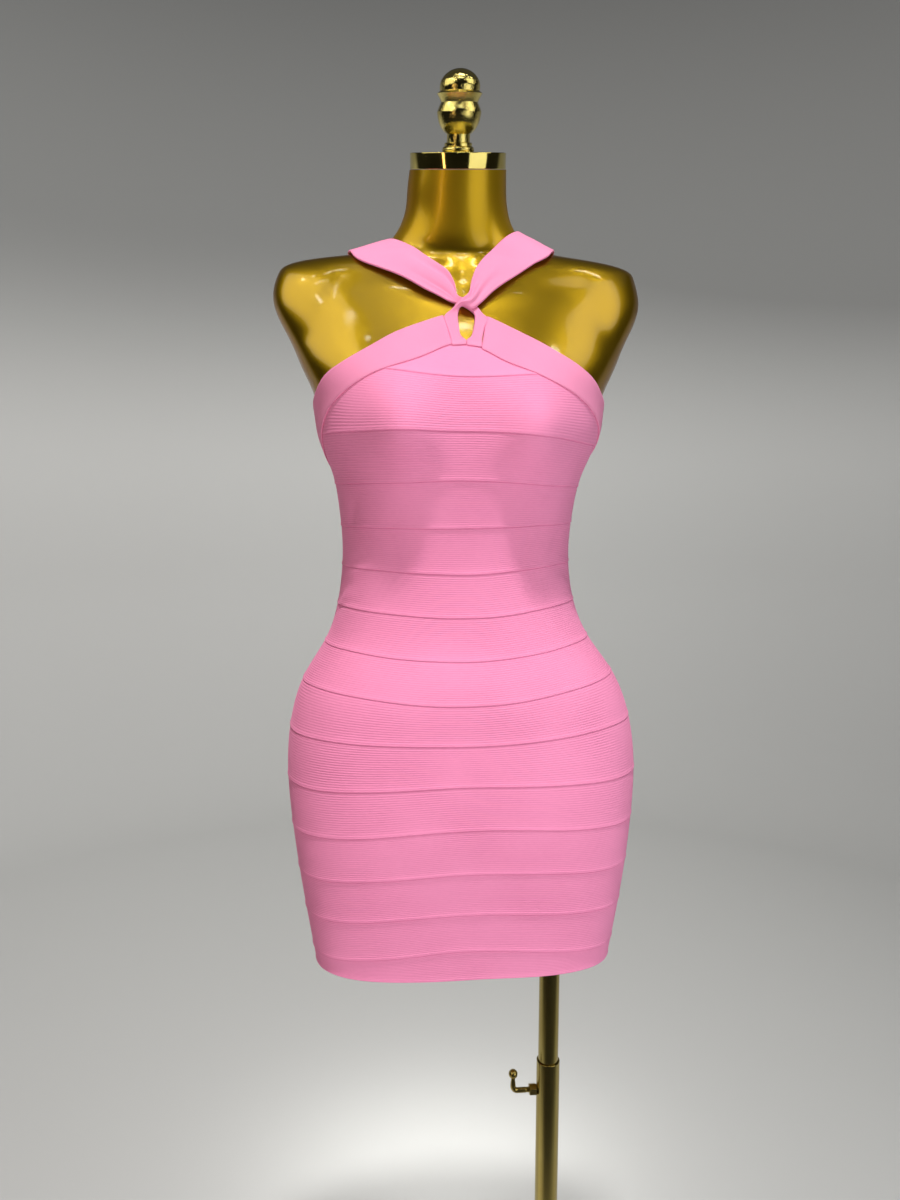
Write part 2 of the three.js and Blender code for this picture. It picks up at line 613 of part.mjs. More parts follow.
function clampBoss() {
  const hexagon = new THREE.Shape();
  for (let i = 0; i < 6; i++) {
    const turn = rad(60 * i + 30);
    hexagon[i ? "lineTo" : "moveTo"](BOSS.radius * Math.cos(turn), BOSS.radius * Math.sin(turn));
  }
  hexagon.closePath();
  hexagon.holes.push(new THREE.Path().absarc(0, 0, BOSS.bore, 0, 2 * Math.PI, true));
  const block = new THREE.ExtrudeGeometry(hexagon, {
    depth: BOSS.length,
    bevelEnabled: false,
    curveSegments: 12,
  });
  return block.rotateY(-Math.PI / 2).translate(bossFace, 0, CLAMP_LEVEL);
}

// The screw runs out along -X, turns up and ends in a ball. Its rings follow that line, and the
// ball is where they widen.
function clampScrew() {
  const start = bossFace - REST_GAP;
  const bendX = bossFace - BOSS.length - SCREW.reach;
  const rings = [
    { x: start, z: 0, turn: 0, r: SCREW.radius },
    { x: bendX + SCREW.bend, z: 0, turn: 0, r: SCREW.radius },
  ];
  for (const turn of [30, 60, 90]) {
    const x = bendX + SCREW.bend * (1 - Math.sin(rad(turn)));
    rings.push({ x, z: SCREW.bend * (1 - Math.cos(rad(turn))), turn, r: SCREW.radius });
  }
  const neckAngle = Math.asin((0.7 * SCREW.radius) / SCREW.ball);
  for (let i = 0; i < 7; i++) {
    const turn = lerp(neckAngle, 0.93 * Math.PI, i / 6);
    const z = SCREW.rise - SCREW.ball * Math.cos(turn);
    rings.push({ x: bendX, z, turn: 90, r: SCREW.ball * Math.sin(turn) });
  }
  const points = [];
  const triangles = [];
  const n = SCREW.sides;
  for (const { x, z, turn, r } of rings)
    for (let i = 0; i < n; i++) {
      const around = (2 * Math.PI * i) / n;
      const across = r * Math.cos(around);
      points.push(
        new THREE.Vector3(
          x + across * Math.sin(rad(turn)),
          r * Math.sin(around),
          CLAMP_LEVEL + z + across * Math.cos(rad(turn)),
        ),
      );
    }
  for (let k = 0; k + 1 < rings.length; k++)
    for (let i = 0; i < n; i++) {
      const j = (i + 1) % n;
      const [p, q, s, t] = [k * n + i, k * n + j, (k + 1) * n + i, (k + 1) * n + j];
      triangles.push([p, q, t], [p, t, s]);
    }
  for (let i = 1; i + 1 < n; i++) {
    const end = (rings.length - 1) * n;
    triangles.push([0, i + 1, i], [end, end + i, end + i + 1]);
  }
  return closedBody(points, triangles);
}

const group = new THREE.Group();
function add(name, geometry, material, place = () => {}) {
  const mesh = new THREE.Mesh(geometry, material);
  mesh.name = name;
  place(mesh);
  group.add(mesh);
}

// The dress
add("front_panel", panel(panelAngles(-90, 90), frontRows, 39), cloth);
add("back_panel", panel(panelAngles(90, 270), backRows, 37), cloth);
add("left_neckline_band", necklineBand(-1), cloth);
add("right_neckline_band", necklineBand(1), cloth);
add("right_halter_strap", strap(FRONT_STRAP), cloth);
add("left_halter_strap", strap(REAR_STRAP), cloth);

// The form, and the cap and knob on its forward-leaning neck
add("form_torso", torso(), gold);
const neckAxis = new THREE.Group();
neckAxis.position.set(section.x(NECK_TOP), section.y(NECK_TOP), NECK_TOP);
neckAxis.rotation.set(rad(section.lean(NECK_TOP)), 0, -rad(LEAN_HEADING), "ZXY");
group.add(neckAxis);
for (const [name, profile, foot] of [
  ["neck_cap", neckCapProfile, REST_GAP],
  ["finial", finialProfile, CAP_THICK + 2 * REST_GAP],
]) {
  const mesh = new THREE.Mesh(turned(profile, 24), brass);
  mesh.name = name;
  mesh.position.z = foot;
  neckAxis.add(mesh);
}

// The stand
const onPole = (mesh) => mesh.position.setX(POLE_X);
add("form_plate", turned(plateProfile, 32), poleBrass, onPole);
const upperBottom = LOWER_TUBE_TOP - TUBE_OVERLAP;
add("upper_tube", tube(UPPER_TUBE, UPPER_BORE, upperBottom, plateSocket, 32), poleBrass, onPole);
add("lower_tube", tube(LOWER_TUBE, LOWER_BORE, tubeFoot, LOWER_TUBE_TOP, 32), poleBrass, onPole);
const socketBore = LOWER_TUBE / 2 + REST_GAP;
const socketTop = tubeFoot + SOCKET.height;
add(
  "pole_socket",
  turned(
    [
      [socketBore, tubeFoot],
      [SOCKET.radius, tubeFoot],
      [SOCKET.radius, socketTop - 3],
      [SOCKET.radius - 3, socketTop],
      [socketBore, socketTop],
      [socketBore, tubeFoot],
    ],
    32,
  ),
  poleBrass,
  onPole,
);
add(
  "base_disc",
  turned(
    [
      [0, 0],
      [BASE_RADIUS, 0],
      [BASE_RADIUS, BASE_THICK - 2],
      [BASE_RADIUS - 2, BASE_THICK],
      [0, BASE_THICK],
    ],
    64,
  ),
  poleBrass,
);
add("clamp_boss", clampBoss(), poleBrass);
add("clamp_screw", clampScrew(), poleBrass);

export default group;
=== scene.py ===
"""A bandage-knit halter dress on a gold dress form and its clamp stand.

Tables are in millimetres and degrees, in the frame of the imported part: +Z is up, the front faces -Y
and +X is the viewer's right. Angle 0 is the middle of the front, 90 the viewer's right, 180 the back.
"""

import math

import bpy
import numpy as np
from mathutils import Euler, Matrix, Vector


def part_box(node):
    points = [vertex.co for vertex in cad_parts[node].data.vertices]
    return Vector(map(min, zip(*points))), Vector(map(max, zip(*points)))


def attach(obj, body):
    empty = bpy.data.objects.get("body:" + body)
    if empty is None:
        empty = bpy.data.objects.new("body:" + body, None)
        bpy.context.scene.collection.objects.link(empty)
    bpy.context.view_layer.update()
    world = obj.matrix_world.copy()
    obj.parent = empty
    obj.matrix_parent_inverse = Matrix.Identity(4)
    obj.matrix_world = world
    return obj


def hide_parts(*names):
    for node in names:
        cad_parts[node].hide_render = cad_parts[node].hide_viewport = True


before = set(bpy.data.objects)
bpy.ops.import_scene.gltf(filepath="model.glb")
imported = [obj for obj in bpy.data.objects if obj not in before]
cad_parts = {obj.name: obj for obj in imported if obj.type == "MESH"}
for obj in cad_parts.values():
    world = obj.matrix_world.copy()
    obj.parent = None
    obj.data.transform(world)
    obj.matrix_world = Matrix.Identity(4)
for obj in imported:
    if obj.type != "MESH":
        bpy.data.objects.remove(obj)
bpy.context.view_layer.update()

bl_info = {
    "name": "Bandage dress on a form",
    "version": (1, 0, 0),
    "blender": (4, 5, 0),
    "location": "3D View > Sidebar > Dress",
    "description": "Finishes a bandage-knit halter dress, its gold dress form and its clamp stand",
    "category": "Object",
}

MM = 0.001


def columns(names, rows):
    """A short table as one array for each of its named columns."""
    return dict(zip(names.split(), np.array(rows, float).T))


# The form's surface: rounded sections of half width, depth forward and depth back, shifted by x and
# y, tipped forward by lean, and squared off as the power grows above 2
SECTIONS = columns(
    "level width front back power x y lean",
    [
        (738, 151.0, 76, 79, 3.00, 4.0, 0, 0),
        (835, 166.0, 92, 93, 2.80, 4.0, 0, 0),
        (900, 173.4, 101, 107, 2.60, 3.5, 0, 0),
        (950, 176.0, 103, 113, 2.45, 3.0, 0, 0),
        (1000, 170.5, 101.6, 105, 2.35, 2.0, 0, 0),
        (1045, 153.5, 97.2, 91, 2.25, 0.5, 0, 0),
        (1076, 133.0, 88, 82, 2.20, -1.0, 0, 0),
        (1122, 116.0, 80, 75, 2.15, -3.0, 0, 0),
        (1183, 111.8, 82, 76, 2.15, -3.0, 0, 0),
        (1213, 115.0, 87, 80, 2.15, -2.5, 0, 0),
        (1242, 121.0, 92, 84, 2.15, -1.5, 0, 0),
        (1280, 135.0, 95, 89, 2.20, 0.0, 0, 0),
        (1316, 141.0, 90, 91, 2.30, 0.0, 2, 0),
        (1345, 154.0, 80, 85, 2.40, 0.5, 6, 0),
        (1370, 165.0, 70, 75, 2.40, 1.0, 10, 0),
        (1410, 181.5, 58, 60, 2.35, 0.8, 16, 0),
        (1437, 177.0, 51, 51, 2.25, 1.5, 20, 0),
        (1450, 152.0, 47, 46, 2.10, 2.5, 22, 3),
        (1458, 102.0, 46, 46, 2.00, 1.5, 22, 7),
        (1472, 65.5, 48, 50, 2.00, -0.8, 21, 12),
        (1496, 50.8, 47, 48, 2.00, -1.5, 14, 16),
        (1518, 47.8, 46, 46, 2.00, -1.8, 7, 18.5),
        (1533, 46.4, 45.5, 45.5, 2.00, -1.2, 2, 19),
    ],
)
FORM_UNDERSIDE = 797
FOOT_ROUND = 5
NECK_TOP = 1533
LEAN_HEADING = 5
# Heights in metres between which the lacquer turns satin
SATIN_NECK = (1.452, 1.475)
BUST = {"depth": 18, "x": 62, "level": 1282, "spread": 33, "above": 46, "below": 36}

# Shallow hollows in the front of the form, beside and between its collarbones, as lines from one
# place to another: x and level of both ends, half width and depth
HOLLOWS = columns(
    "from_x from_level to_x to_level width depth",
    [
        (-24, 1444, -78, 1449, 9, 1.6),
        (24, 1444, 80, 1449, 9, 1.6),
        (-1, 1436, 0, 1426, 9, 1.8),
        (-22, 1412, -112, 1420, 15, 1.8),
        (22, 1412, 114, 1420, 15, 1.8),
        (-116, 1422, -141, 1372, 14, 1.6),
        (119, 1422, 144, 1372, 14, 1.2),
    ],
)

# The seams between the knit bands, from the hem up: levels at the middle of the front, at the
# viewer's left and right sides and at the middle of the back
BAND_SEAMS = columns(
    "front left right back",
    [
        (749, 747, 744, 747),
        (782, 764, 764, 774),
        (823, 807, 808, 818),
        (867, 850, 852, 861),
        (912, 895, 898, 905),
        (954, 943, 946, 950),
        (993, 993, 1000, 997),
        (1030, 1039, 1044, 1037),
        (1069, 1076, 1080, 1074),
        (1109, 1115, 1118, 1112),
        (1150, 1154, 1157, 1151),
        (1193, 1193, 1196, 1193),
        (1236, 1234, 1231, 1236),
        (1279, 1281, 1271, 1280),
    ],
)
CHEST_SEAM = {"level": 1326.5, "left_rise": 8, "right_rise": 4, "reach": 30}

# The neckline band's two edges on the viewer's left and right, by the angle from the front's middle
NECKLINE = columns(
    "angle left_lower left_upper right_lower right_upper",
    [
        (0, 1360.3, 1391, 1359.8, 1391),
        (6, 1357.8, 1386.5, 1352.6, 1385.5),
        (12, 1350.6, 1380.5, 1343.6, 1377.2),
        (18, 1343.8, 1374, 1337, 1368.6),
        (24, 1338.8, 1366.7, 1331.2, 1360.5),
        (30, 1334.4, 1358, 1325.4, 1352.4),
        (38, 1327.4, 1348.4, 1318.8, 1343.3),
        (45, 1320.4, 1341.4, 1312.8, 1336),
        (52, 1313, 1335.5, 1306, 1329),
        (60, 1303.4, 1327.8, 1297.4, 1320.8),
        (68, 1290.5, 1320.5, 1288, 1315),
        (76, 1277, 1314.5, 1277.5, 1309.5),
        (88, 1262, 1306, 1262, 1301),
        (105, 1246, 1287, 1246, 1284),
        (125, 1231, 1265, 1231, 1265),
        (150, 1219, 1249.5, 1219, 1249.5),
        (180, 1215, 1244, 1215, 1244),
    ],
)
# The foot and head of the seam between a strap's first strip and the band: x outwards, y and level
LOOP_SEAM = [(14, -70, 1357.5), (20.5, -55, 1387.5)]
BAND_LENGTH = 400
BAND_LAP = 0.35

STRAP_COLUMNS = "near_x near_y near_z far_x far_y far_z lift stand thick"
# The strap that crosses in front, from the left of the keyhole over the viewer's right shoulder to
# the nape. Near is its edge on the neck's side, lift its height off the form, stand what the far
# edge adds. The first rows lap over the front panel.
FRONT_STRAP = columns(
    STRAP_COLUMNS,
    [
        (-13.7, -70.5, 1357, -0.1, -70.5, 1358.4, 3.2, 0, 0.9),
        (-13.9, -70, 1358.5, -0.1, -70, 1359.9, 3.1, 0, 1.2),
        (-14.4, -67.5, 1361.2, -0.1, -66.8, 1362.2, 1.6, 0, 2.3),
        (-15.2, -63, 1364.8, -2.8, -64.2, 1363.4, 1.6, 0, 2.5),
        (-16.6, -60, 1369.8, -5.3, -61.4, 1367.2, 1.6, 0, 2.6),
        (-18.4, -56.6, 1376.4, -6, -58, 1373.5, 1.6, 0, 2.7),
        (-19.4, -52.9, 1384.2, -6.6, -53.9, 1381.5, 1.7, 0, 2.7),
        (-14.9, -50.9, 1388.5, -6.2, -51, 1387.2, 2.2, 0, 2.8),
        (-11.3, -49.7, 1391, -5.2, -49.6, 1390.3, 3.4, 0, 3),
        (-8.3, -48.2, 1394.5, -3.3, -48.8, 1391.8, 5, 0, 3.2),
        (-4.6, -47, 1397.6, 0.1, -49.6, 1391.4, 6.2, 0, 3.4),
        (-0.4, -45.6, 1400.9, 5, -50.5, 1389.6, 6.2, 0, 3.4),
        (3.8, -43.6, 1405.7, 10.7, -49, 1392.5, 5.2, 0, 3.4),
        (6.1, -40.2, 1415, 17.8, -46.1, 1399.3, 3.6, 0.5, 3.2),
        (8.8, -36.8, 1424.2, 25.4, -42.9, 1407.1, 2.4, 1.2, 3),
        (12.4, -33.3, 1432.3, 34.9, -39.9, 1414.5, 1.6, 2.2, 2.8),
        (18.4, -28.6, 1440.9, 43.2, -37.6, 1419.9, 1.4, 3, 2.6),
        (26.9, -23.2, 1450.3, 54, -34.3, 1427, 1.3, 3.2, 2.5),
        (37.5, -17.8, 1462.7, 69.1, -28.2, 1437.4, 1.3, 2.6, 2.4),
        (49.6, -7.4, 1472.8, 83.5, -19, 1446, 1.2, 1.2, 2.3),
        (57, 8, 1477, 92, 4, 1452, 1.2, 0.6, 2.3),
        (61, 32, 1471, 96, 42, 1448, 1.6, 1, 2.3),
        (54, 54, 1463, 82, 66, 1433, 2.2, 3, 2.4),
        (30, 68, 1463, 44, 74, 1420, 1.3, 1, 2.4),
        (0.05, 73, 1463, 0.05, 78, 1415, 1.3, 0, 2.4),
    ],
)
# The strap that crosses behind, from the right of the keyhole over the viewer's left shoulder
REAR_STRAP = columns(
    STRAP_COLUMNS,
    [
        (13.7, -70.5, 1355.2, 0.1, -70.5, 1357.6, 3.2, 0, 0.9),
        (13.9, -70, 1356.9, 0.1, -70, 1359.3, 3.1, 0, 1.2),
        (14.3, -68.2, 1360.2, 0.1, -66.8, 1362.2, 1.6, 0, 2.3),
        (15.1, -63, 1364.8, 2.9, -64.2, 1363.5, 1.6, 0, 2.5),
        (16.7, -59.6, 1370.4, 5.6, -61.2, 1367.3, 1.6, 0, 2.6),
        (18.9, -56.2, 1377, 7.2, -57.9, 1373.8, 1.6, 0, 2.7),
        (20.6, -53.1, 1383.2, 8.7, -53.7, 1381.8, 1.6, 0, 2.7),
        (17, -51.5, 1386.9, 8.3, -51.6, 1386.2, 1.4, 0, 2.8),
        (14, -49.6, 1391.1, 6.1, -50.3, 1389.4, 1.2, 0, 2.8),
        (11, -47.7, 1395.6, 2.9, -49.4, 1391.7, 1.2, 0, 2.8),
        (5.2, -45.5, 1401, -0.2, -48.4, 1393.6, 1.2, 0, 2.8),
        (-1.2, -44.8, 1403.2, -4.3, -47.8, 1395.2, 1.2, 0, 2.8),
        (-5.9, -44, 1405.2, -8.8, -47.1, 1396.7, 1.2, 0, 3),
        (-7.6, -40.8, 1413.2, -15.3, -46, 1399.4, 1.4, 0, 3.2),
        (-9.7, -38.1, 1420.5, -23.1, -44.3, 1403.5, 1.6, 0.6, 3),
        (-13.9, -35, 1428.6, -36, -41.5, 1409.6, 1.6, 1.6, 2.8),
        (-22.1, -31.6, 1435.3, -48.6, -38.4, 1416.6, 1.4, 2.8, 2.6),
        (-34.9, -25.5, 1444.7, -63.1, -34.7, 1423.7, 1.3, 3.4, 2.5),
        (-47.3, -15.8, 1455.2, -82.2, -29.4, 1431.4, 1.2, 2.6, 2.4),
        (-61.8, 1.5, 1466.5, -101, -15, 1440, 1.1, 0.8, 2.3),
        (-66.5, 18, 1468, -106, 12, 1446, 1.1, 0.4, 2.3),
        (-65, 34, 1467, -104, 42, 1446, 1.6, 1, 2.3),
        (-54, 54, 1463, -82, 66, 1433, 2.2, 3, 2.4),
        (-30, 68, 1463, -44, 74, 1420, 1.3, 1, 2.4),
        (-0.05, 73, 1463, -0.05, 78, 1415, 1.3, 0, 2.4),
    ],
)
# Soft folds that run along a strap: the rows of its table between which one lies, its place across
# the strap at both ends, its half width as a share of the strap, and its height or depth
FOLD_COLUMNS = "from_row to_row across_from across_to width height"
FRONT_FOLDS = columns(
    FOLD_COLUMNS,
    [
        (7, 14, 0.5, 0.55, 0.2, 1.2),
        (9.5, 16.5, 0.3, 0.2, 0.1, -1.3),
        (10, 17.5, 0.52, 0.42, 0.12, 1.1),
        (10.5, 16, 0.74, 0.66, 0.1, -1.5),
        (8.5, 14.8, 1.02, 1.0, 0.2, -2.2),
    ],
)
REAR_FOLDS = columns(
    FOLD_COLUMNS,
    [
        (12, 17.5, 0.16, 0.24, 0.07, -2.0),
        (12, 18.5, 0.4, 0.46, 0.2, 1.2),
        (12.2, 16.2, 0.80, 0.86, 0.035, -1.3),
        (12.2, 15.2, 0.92, 0.94, 0.03, -1.2),
        (12.2, 16.8, 0.66, 0.72, 0.05, -0.9),
    ],
)

# Soft creases of the stretched knit: the place of the middle, the heading up from level towards
# growing angles, half length, half width and height, or depth where negative
CREASES = columns(
    "angle level heading length width height",
    [
        (-52, 1197, -6, 9, 3, 1.0),
        (-60, 1206, 66, 16, 5, -0.9),
        (-62, 1158, 24, 18, 4.5, -1.4),
        (-60, 1148, 28, 14, 3.5, 1.2),
        (-70, 1136, 34, 16, 4.5, -1.2),
        (-66, 1126, 18, 15, 4, 0.9),
        (-74, 1112, 20, 13, 3.5, -0.9),
        (52, 1182, 58, 18, 6, -1.0),
        (60, 1150, -22, 16, 5, -1.0),
        (66, 1132, -30, 14, 4, 0.8),
        (-30, 1205, 35, 26, 8, -0.5),
        (34, 1202, -34, 24, 8, -0.5),
        (128, 1140, 20, 26, 6, -0.9),
        (118, 1116, 24, 20, 5, 0.6),
        (-131, 1136, -22, 24, 6, -0.8),
        (-120, 1160, -18, 20, 5, -0.6),
        (168, 1120, 4, 30, 7, -0.7),
        (-170, 1092, -3, 26, 6, -0.6),
    ],
)
CREASE_MM_PER_DEGREE = 1.8

# A band's edge in section, from the groove under its seam up: height above the seam, and how far
# the knit stands out there as a share of the ridge
SEAM_PROFILE = columns(
    "height share",
    [
        (-3.2, 0),
        (-1.6, -0.05),
        (-0.7, -0.3),
        (-0.25, -0.25),
        (0.1, 0.5),
        (0.5, 0.92),
        (1.1, 1.0),
        (1.9, 0.78),
        (3.0, 0.42),
        (4.6, 0.14),
        (7.5, 0.03),
        (13, 0),
    ],
)
ROWS_BETWEEN = 6
RIB_PITCH = 2
TOP_BAND = 42
# Columns beside a side seam: the last is where its rounded edge ends
SIDE_STEPS = (0.02, 0.5, 1.2, 2.2)

# The neckline band in section, all round it: share of its height, rise from there, and height off
# the cloth's inside. The first points are the lip that laps over the panel.
BAND_PROFILE = columns(
    "share rise out",
    [
        (0, -1.7, 1.75),
        (0, -2.0, 2.1),
        (0, -1.8, 2.5),
        (0, -1.0, 2.75),
        (0, 0.4, 2.85),
        (0, 2.2, 2.75),
        (0.18, 0, 2.7),
        (0.34, 0, 2.75),
        (0.5, 0, 2.8),
        (0.66, 0, 2.75),
        (0.82, 0, 2.7),
        (1, -2.4, 2.75),
        (1, -1.0, 2.65),
        (1, -0.3, 2.25),
        (1, 0, 1.5),
        (1, -0.3, 0.75),
        (1, -1.0, 0.2),
        (1, -3.0, 0),
        (0.66, 0, 0),
        (0.33, 0, 0),
        (0, 1.4, 0),
        (0, 0.4, 0.15),
        (0, 0.2, 0.9),
        (0, 0.1, 1.7),
    ],
)

# The turned knob, in stretches of radius and height that meet in its ridges and corners
FINIAL_STRETCHES = [
    [(0, 0), (14.2, 0)],
    [(14.2, 0), (14.8, 0.5), (14.8, 4.0), (14.3, 4.6), (13.2, 5.2)],
    [(13.2, 5.2), (13.2, 7.6)],
    [(13.2, 7.6), (12.8, 8.1), (11.2, 8.3)],
    [(11.2, 8.3), (11, 12), (11.1, 15.3)],
    [(11.1, 15.3), (13.0, 16.6), (16.3, 20.0), (19.0, 25.0), (20.4, 30.2), (20.9, 33.7)],
    [(20.9, 33.7), (19.3, 37.4), (17.3, 41.5)],
    [(17.3, 41.5), (19.1, 45.2), (21.3, 48.6)],
    [(21.3, 48.6), (18.6, 50.8)],
    [(18.6, 50.8), (18.7, 55.8), (15.9, 61.8), (10.3, 66.5), (4.6, 68.6), (0, 69.1)],
]
# How far the knob leans towards +X for each millimetre of its height
FINIAL_TILT = 0.03
CAP = {"radius": 46, "thick": 14, "foot": 0.3, "dish": 3.4, "dish_depth": 0.5}
FINIAL_FOOT = 14.6
REST_GAP = 0.3
TUBE_BORES = {"upper_tube": 9.5, "lower_tube": 11.4}
SCREW = {"radius": 3, "bend": 5, "ball": 5, "bore": 3.3, "thread": 11, "pitch": 1, "thread_depth": 0.22}

# Small lamps overhead in metres, which only the gloss shows
CEILING_LAMPS = columns(
    "x y width depth",
    [
        (-1.54, -0.65, 0.12, 0.12),
        (-1.14, -0.78, 0.10, 0.08),
        (-0.79, -0.89, 0.08, 0.05),
        (-1.08, -1.29, 0.42, 0.03),
        (-0.18, -1.31, 0.26, 0.06),
        (0.15, -0.56, 0.50, 0.08),
        (0.16, -0.89, 0.12, 0.06),
        (0.21, -1.36, 0.10, 0.14),
        (1.20, -0.60, 0.30, 0.08),
        (0.55, -1.14, 0.05, 0.03),
        (-0.20, -2.40, 0.12, 0.12),
        (0.90, -2.00, 0.12, 0.12),
        (-1.50, -1.90, 0.12, 0.12),
    ],
)
LAMP_POWER = 7
LAMP_HEIGHT = 3.1

LIGHT_COLOURS = {
    "white": (1.0, 1.0, 0.97),
    "pale": (1.0, 0.97, 0.88),
    "amber": (1.0, 0.72, 0.45),
    "warm": (1.0, 0.8, 0.78),
    "cool": (0.92, 0.98, 1.0),
}
# The lights in metres: where each stands and what it faces, its width and height, its share of the
# key, fill or wall power, its colour, and whether the matte surfaces or the gloss take it
LIGHTS = [
    ("key", (-0.05, -0.95, 4.5), (0, 0, 1.15), 0.26, 0.18, 1, "key", "white", "matte"),
    ("right fill", (1.2, -1.9, 0.9), (0, 0, 1.15), 1.6, 1.2, 2.75, "fill", "cool", "matte"),
    ("left fill", (-1.1, -1.9, 1.2), (0, 0, 1.15), 1.6, 1.2, 1.7, "fill", "warm", "matte"),
    ("bounce", (0, -0.95, 0.05), (0, 0, 0.85), 1.3, 0.6, 0.5, "fill", "cool", "matte"),
    ("floor", (0.03, 0.56, 0.3), (0.03, 0.56, 0), 0.42, 0.12, 0.1, "fill", "white", "matte"),
    ("wall", (-0.4, 0.7, 3.1), (-0.4, 3.2, 1.0), 3.0, 0.5, 1, "wall", "white", "matte"),
    ("left panel", (-1.53, -0.68, 2.4), (0, 0, 1.4), 2.0, 1.4, 1.3, "fill", "pale", "gloss"),
    ("right panel", (1.38, -0.9, 2.35), (0, 0, 1.4), 1.1, 1.1, 0.65, "fill", "pale", "gloss"),
    ("upper panel", (-0.2, -1.05, 3.15), (-0.2, -1.05, 0), 1.0, 1.3, 0.22, "fill", "pale", "gloss"),
    ("right window", (1.3, -1.36, 1.0), (0, 0, 1.0), 1.5, 1.2, 0.72, "fill", "white", "gloss"),
    ("floor panel", (-0.5, -0.2, 0.01), (-0.5, -0.2, 1), 0.5, 0.6, 0.03, "fill", "pale", "gloss"),
    ("left strip", (-1.25, -1.48, 1.05), (0, 0, 1.05), 0.16, 1.0, 0.2, "fill", "amber", "gloss"),
]
# The round wall: the curve at its foot and its height in millimetres, then in metres the middle of its pale
# part and the distances from there over which painted shade darkens it to near black
WALL = {"fillet": 900, "top": 3700, "pale_middle": (0.3, 2.6, 1.3), "pale_reach": (3.0, 3.6)}
WORLD = {"Color": (0.5, 0.5, 0.52, 1), "Strength": 0.12}

# The camera: where the photograph was taken from, its tilt down and turn, and its focal length for
# a picture 1200 pixels high
CAMERA_AT = (-85.5, -873.9, 1230)
CAMERA_DOWN = 7.4
CAMERA_TURN = 5
FOCAL_PIXELS = 867
PICTURE_HEIGHT = 1200
SENSOR = 36


def spline(at, knots, values):
    """The natural cubic spline through the values at the knots, read at any places."""
    step = np.diff(knots)
    slope = np.diff(values) / step
    system = np.eye(len(knots))
    right = np.zeros(len(knots))
    for i in range(1, len(knots) - 1):
        system[i, i - 1 : i + 2] = step[i - 1], 2 * (step[i - 1] + step[i]), step[i]
        right[i] = 6 * (slope[i] - slope[i - 1])
    bend = np.linalg.solve(system, right)
    i = np.clip(np.searchsorted(knots, at) - 1, 0, len(knots) - 2)
    b = (at - knots[i]) / step[i]
    a = 1 - b
    curve = (a**3 - a) * bend[i] + (b**3 - b) * bend[i + 1]
    return a * values[i] + b * values[i + 1] + curve * step[i] ** 2 / 6


def bell(distance, spread):
    return np.exp(-((distance / spread) ** 2))


def ease(low, high, at):
    """Rises smoothly from 0 at low to 1 at high."""
    share = np.clip((at - low) / (high - low), 0, 1)
    return share * share * (3 - 2 * share)


def mix(first, second, share):
    return first + (second - first) * share


def read_sections(level):
    """The form's section values at some levels."""
    return {name: spline(level, SECTIONS["level"], SECTIONS[name]) for name in SECTIONS if name != "level"}


def form_point(angle, level):
    """Points of the form's surface, in millimetres."""
    angle, level = np.broadcast_arrays(np.asarray(angle, float), np.asarray(level, float))
    across, facing = np.sin(np.radians(angle)), np.cos(np.radians(angle))
    at = read_sections(level)
    reach = (abs(across) ** at["power"] + abs(facing) ** at["power"]) ** (-1 / at["power"])
    x = at["width"] * across * reach
    depth = np.where(facing > 0, at["front"], at["back"])
    height = np.where(level > BUST["level"], BUST["above"], BUST["below"])
    sides = bell(x - BUST["x"], BUST["spread"]) + bell(x + BUST["x"], BUST["spread"])
    front_only = np.minimum(1, 1.6 * np.sqrt(np.maximum(facing, 0)))
    swell = BUST["depth"] * sides * bell(level - BUST["level"], height) * front_only
    y = -depth * facing * reach - swell
    lean, heading = np.radians(at["lean"]), math.radians(LEAN_HEADING)
    behind = x * math.sin(heading) + y * math.cos(heading)
    shortened = behind * (1 - np.cos(lean))
    return np.stack(
        [
            at["x"] + x - shortened * math.sin(heading),
            at["y"] + y - shortened * math.cos(heading),
            level + behind * np.sin(lean),
        ],
        axis=-1,
    )


def off_form(angle, level, out):
    """Points at a height off the form, in millimetres."""
    angle, level, out = np.broadcast_arrays(*(np.asarray(v, float) for v in (angle, level, out)))
    around = form_point(angle + 0.5, level) - form_point(angle - 0.5, level)
    upward = form_point(angle, level + 0.5) - form_point(angle, level - 0.5)
    normal = np.cross(around, upward)
    normal /= np.linalg.norm(normal, axis=-1, keepdims=True)
    return form_point(angle, level) + out[..., None] * normal


def degrees_for(length, angle, level):
    """The angle that spans a length on the form at a given place."""
    return length / np.linalg.norm(form_point(angle + 0.5, level) - form_point(angle - 0.5, level))


def place_on_form(points):
    """The angle and level of the places on the form that are nearest to some points."""
    grid_angle, grid_level = np.meshgrid(np.arange(-180.0, 180, 6), np.arange(1340.0, 1500, 4))
    angles, levels = grid_angle.ravel(), grid_level.ravel()
    surface = form_point(angles, levels)
    apart = (surface**2).sum(-1) - 2 * points @ surface.T
    first = apart.argmin(-1)
    angle, level = angles[first], levels[first]
    for _ in range(14):
        error = points - form_point(angle, level)
        around = 2 * (form_point(angle + 0.25, level) - form_point(angle - 0.25, level))
        upward = 2 * (form_point(angle, level + 0.25) - form_point(angle, level - 0.25))
        aa, ab, bb = (around**2).sum(-1), (around * upward).sum(-1), (upward**2).sum(-1)
        ea, eb = (error * around).sum(-1), (error * upward).sum(-1)
        area = aa * bb - ab * ab
        angle = angle + np.clip((ea * bb - eb * ab) / area, -3, 3)
        level = level + np.clip((eb * aa - ea * ab) / area, -4, 4)
    return angle, level


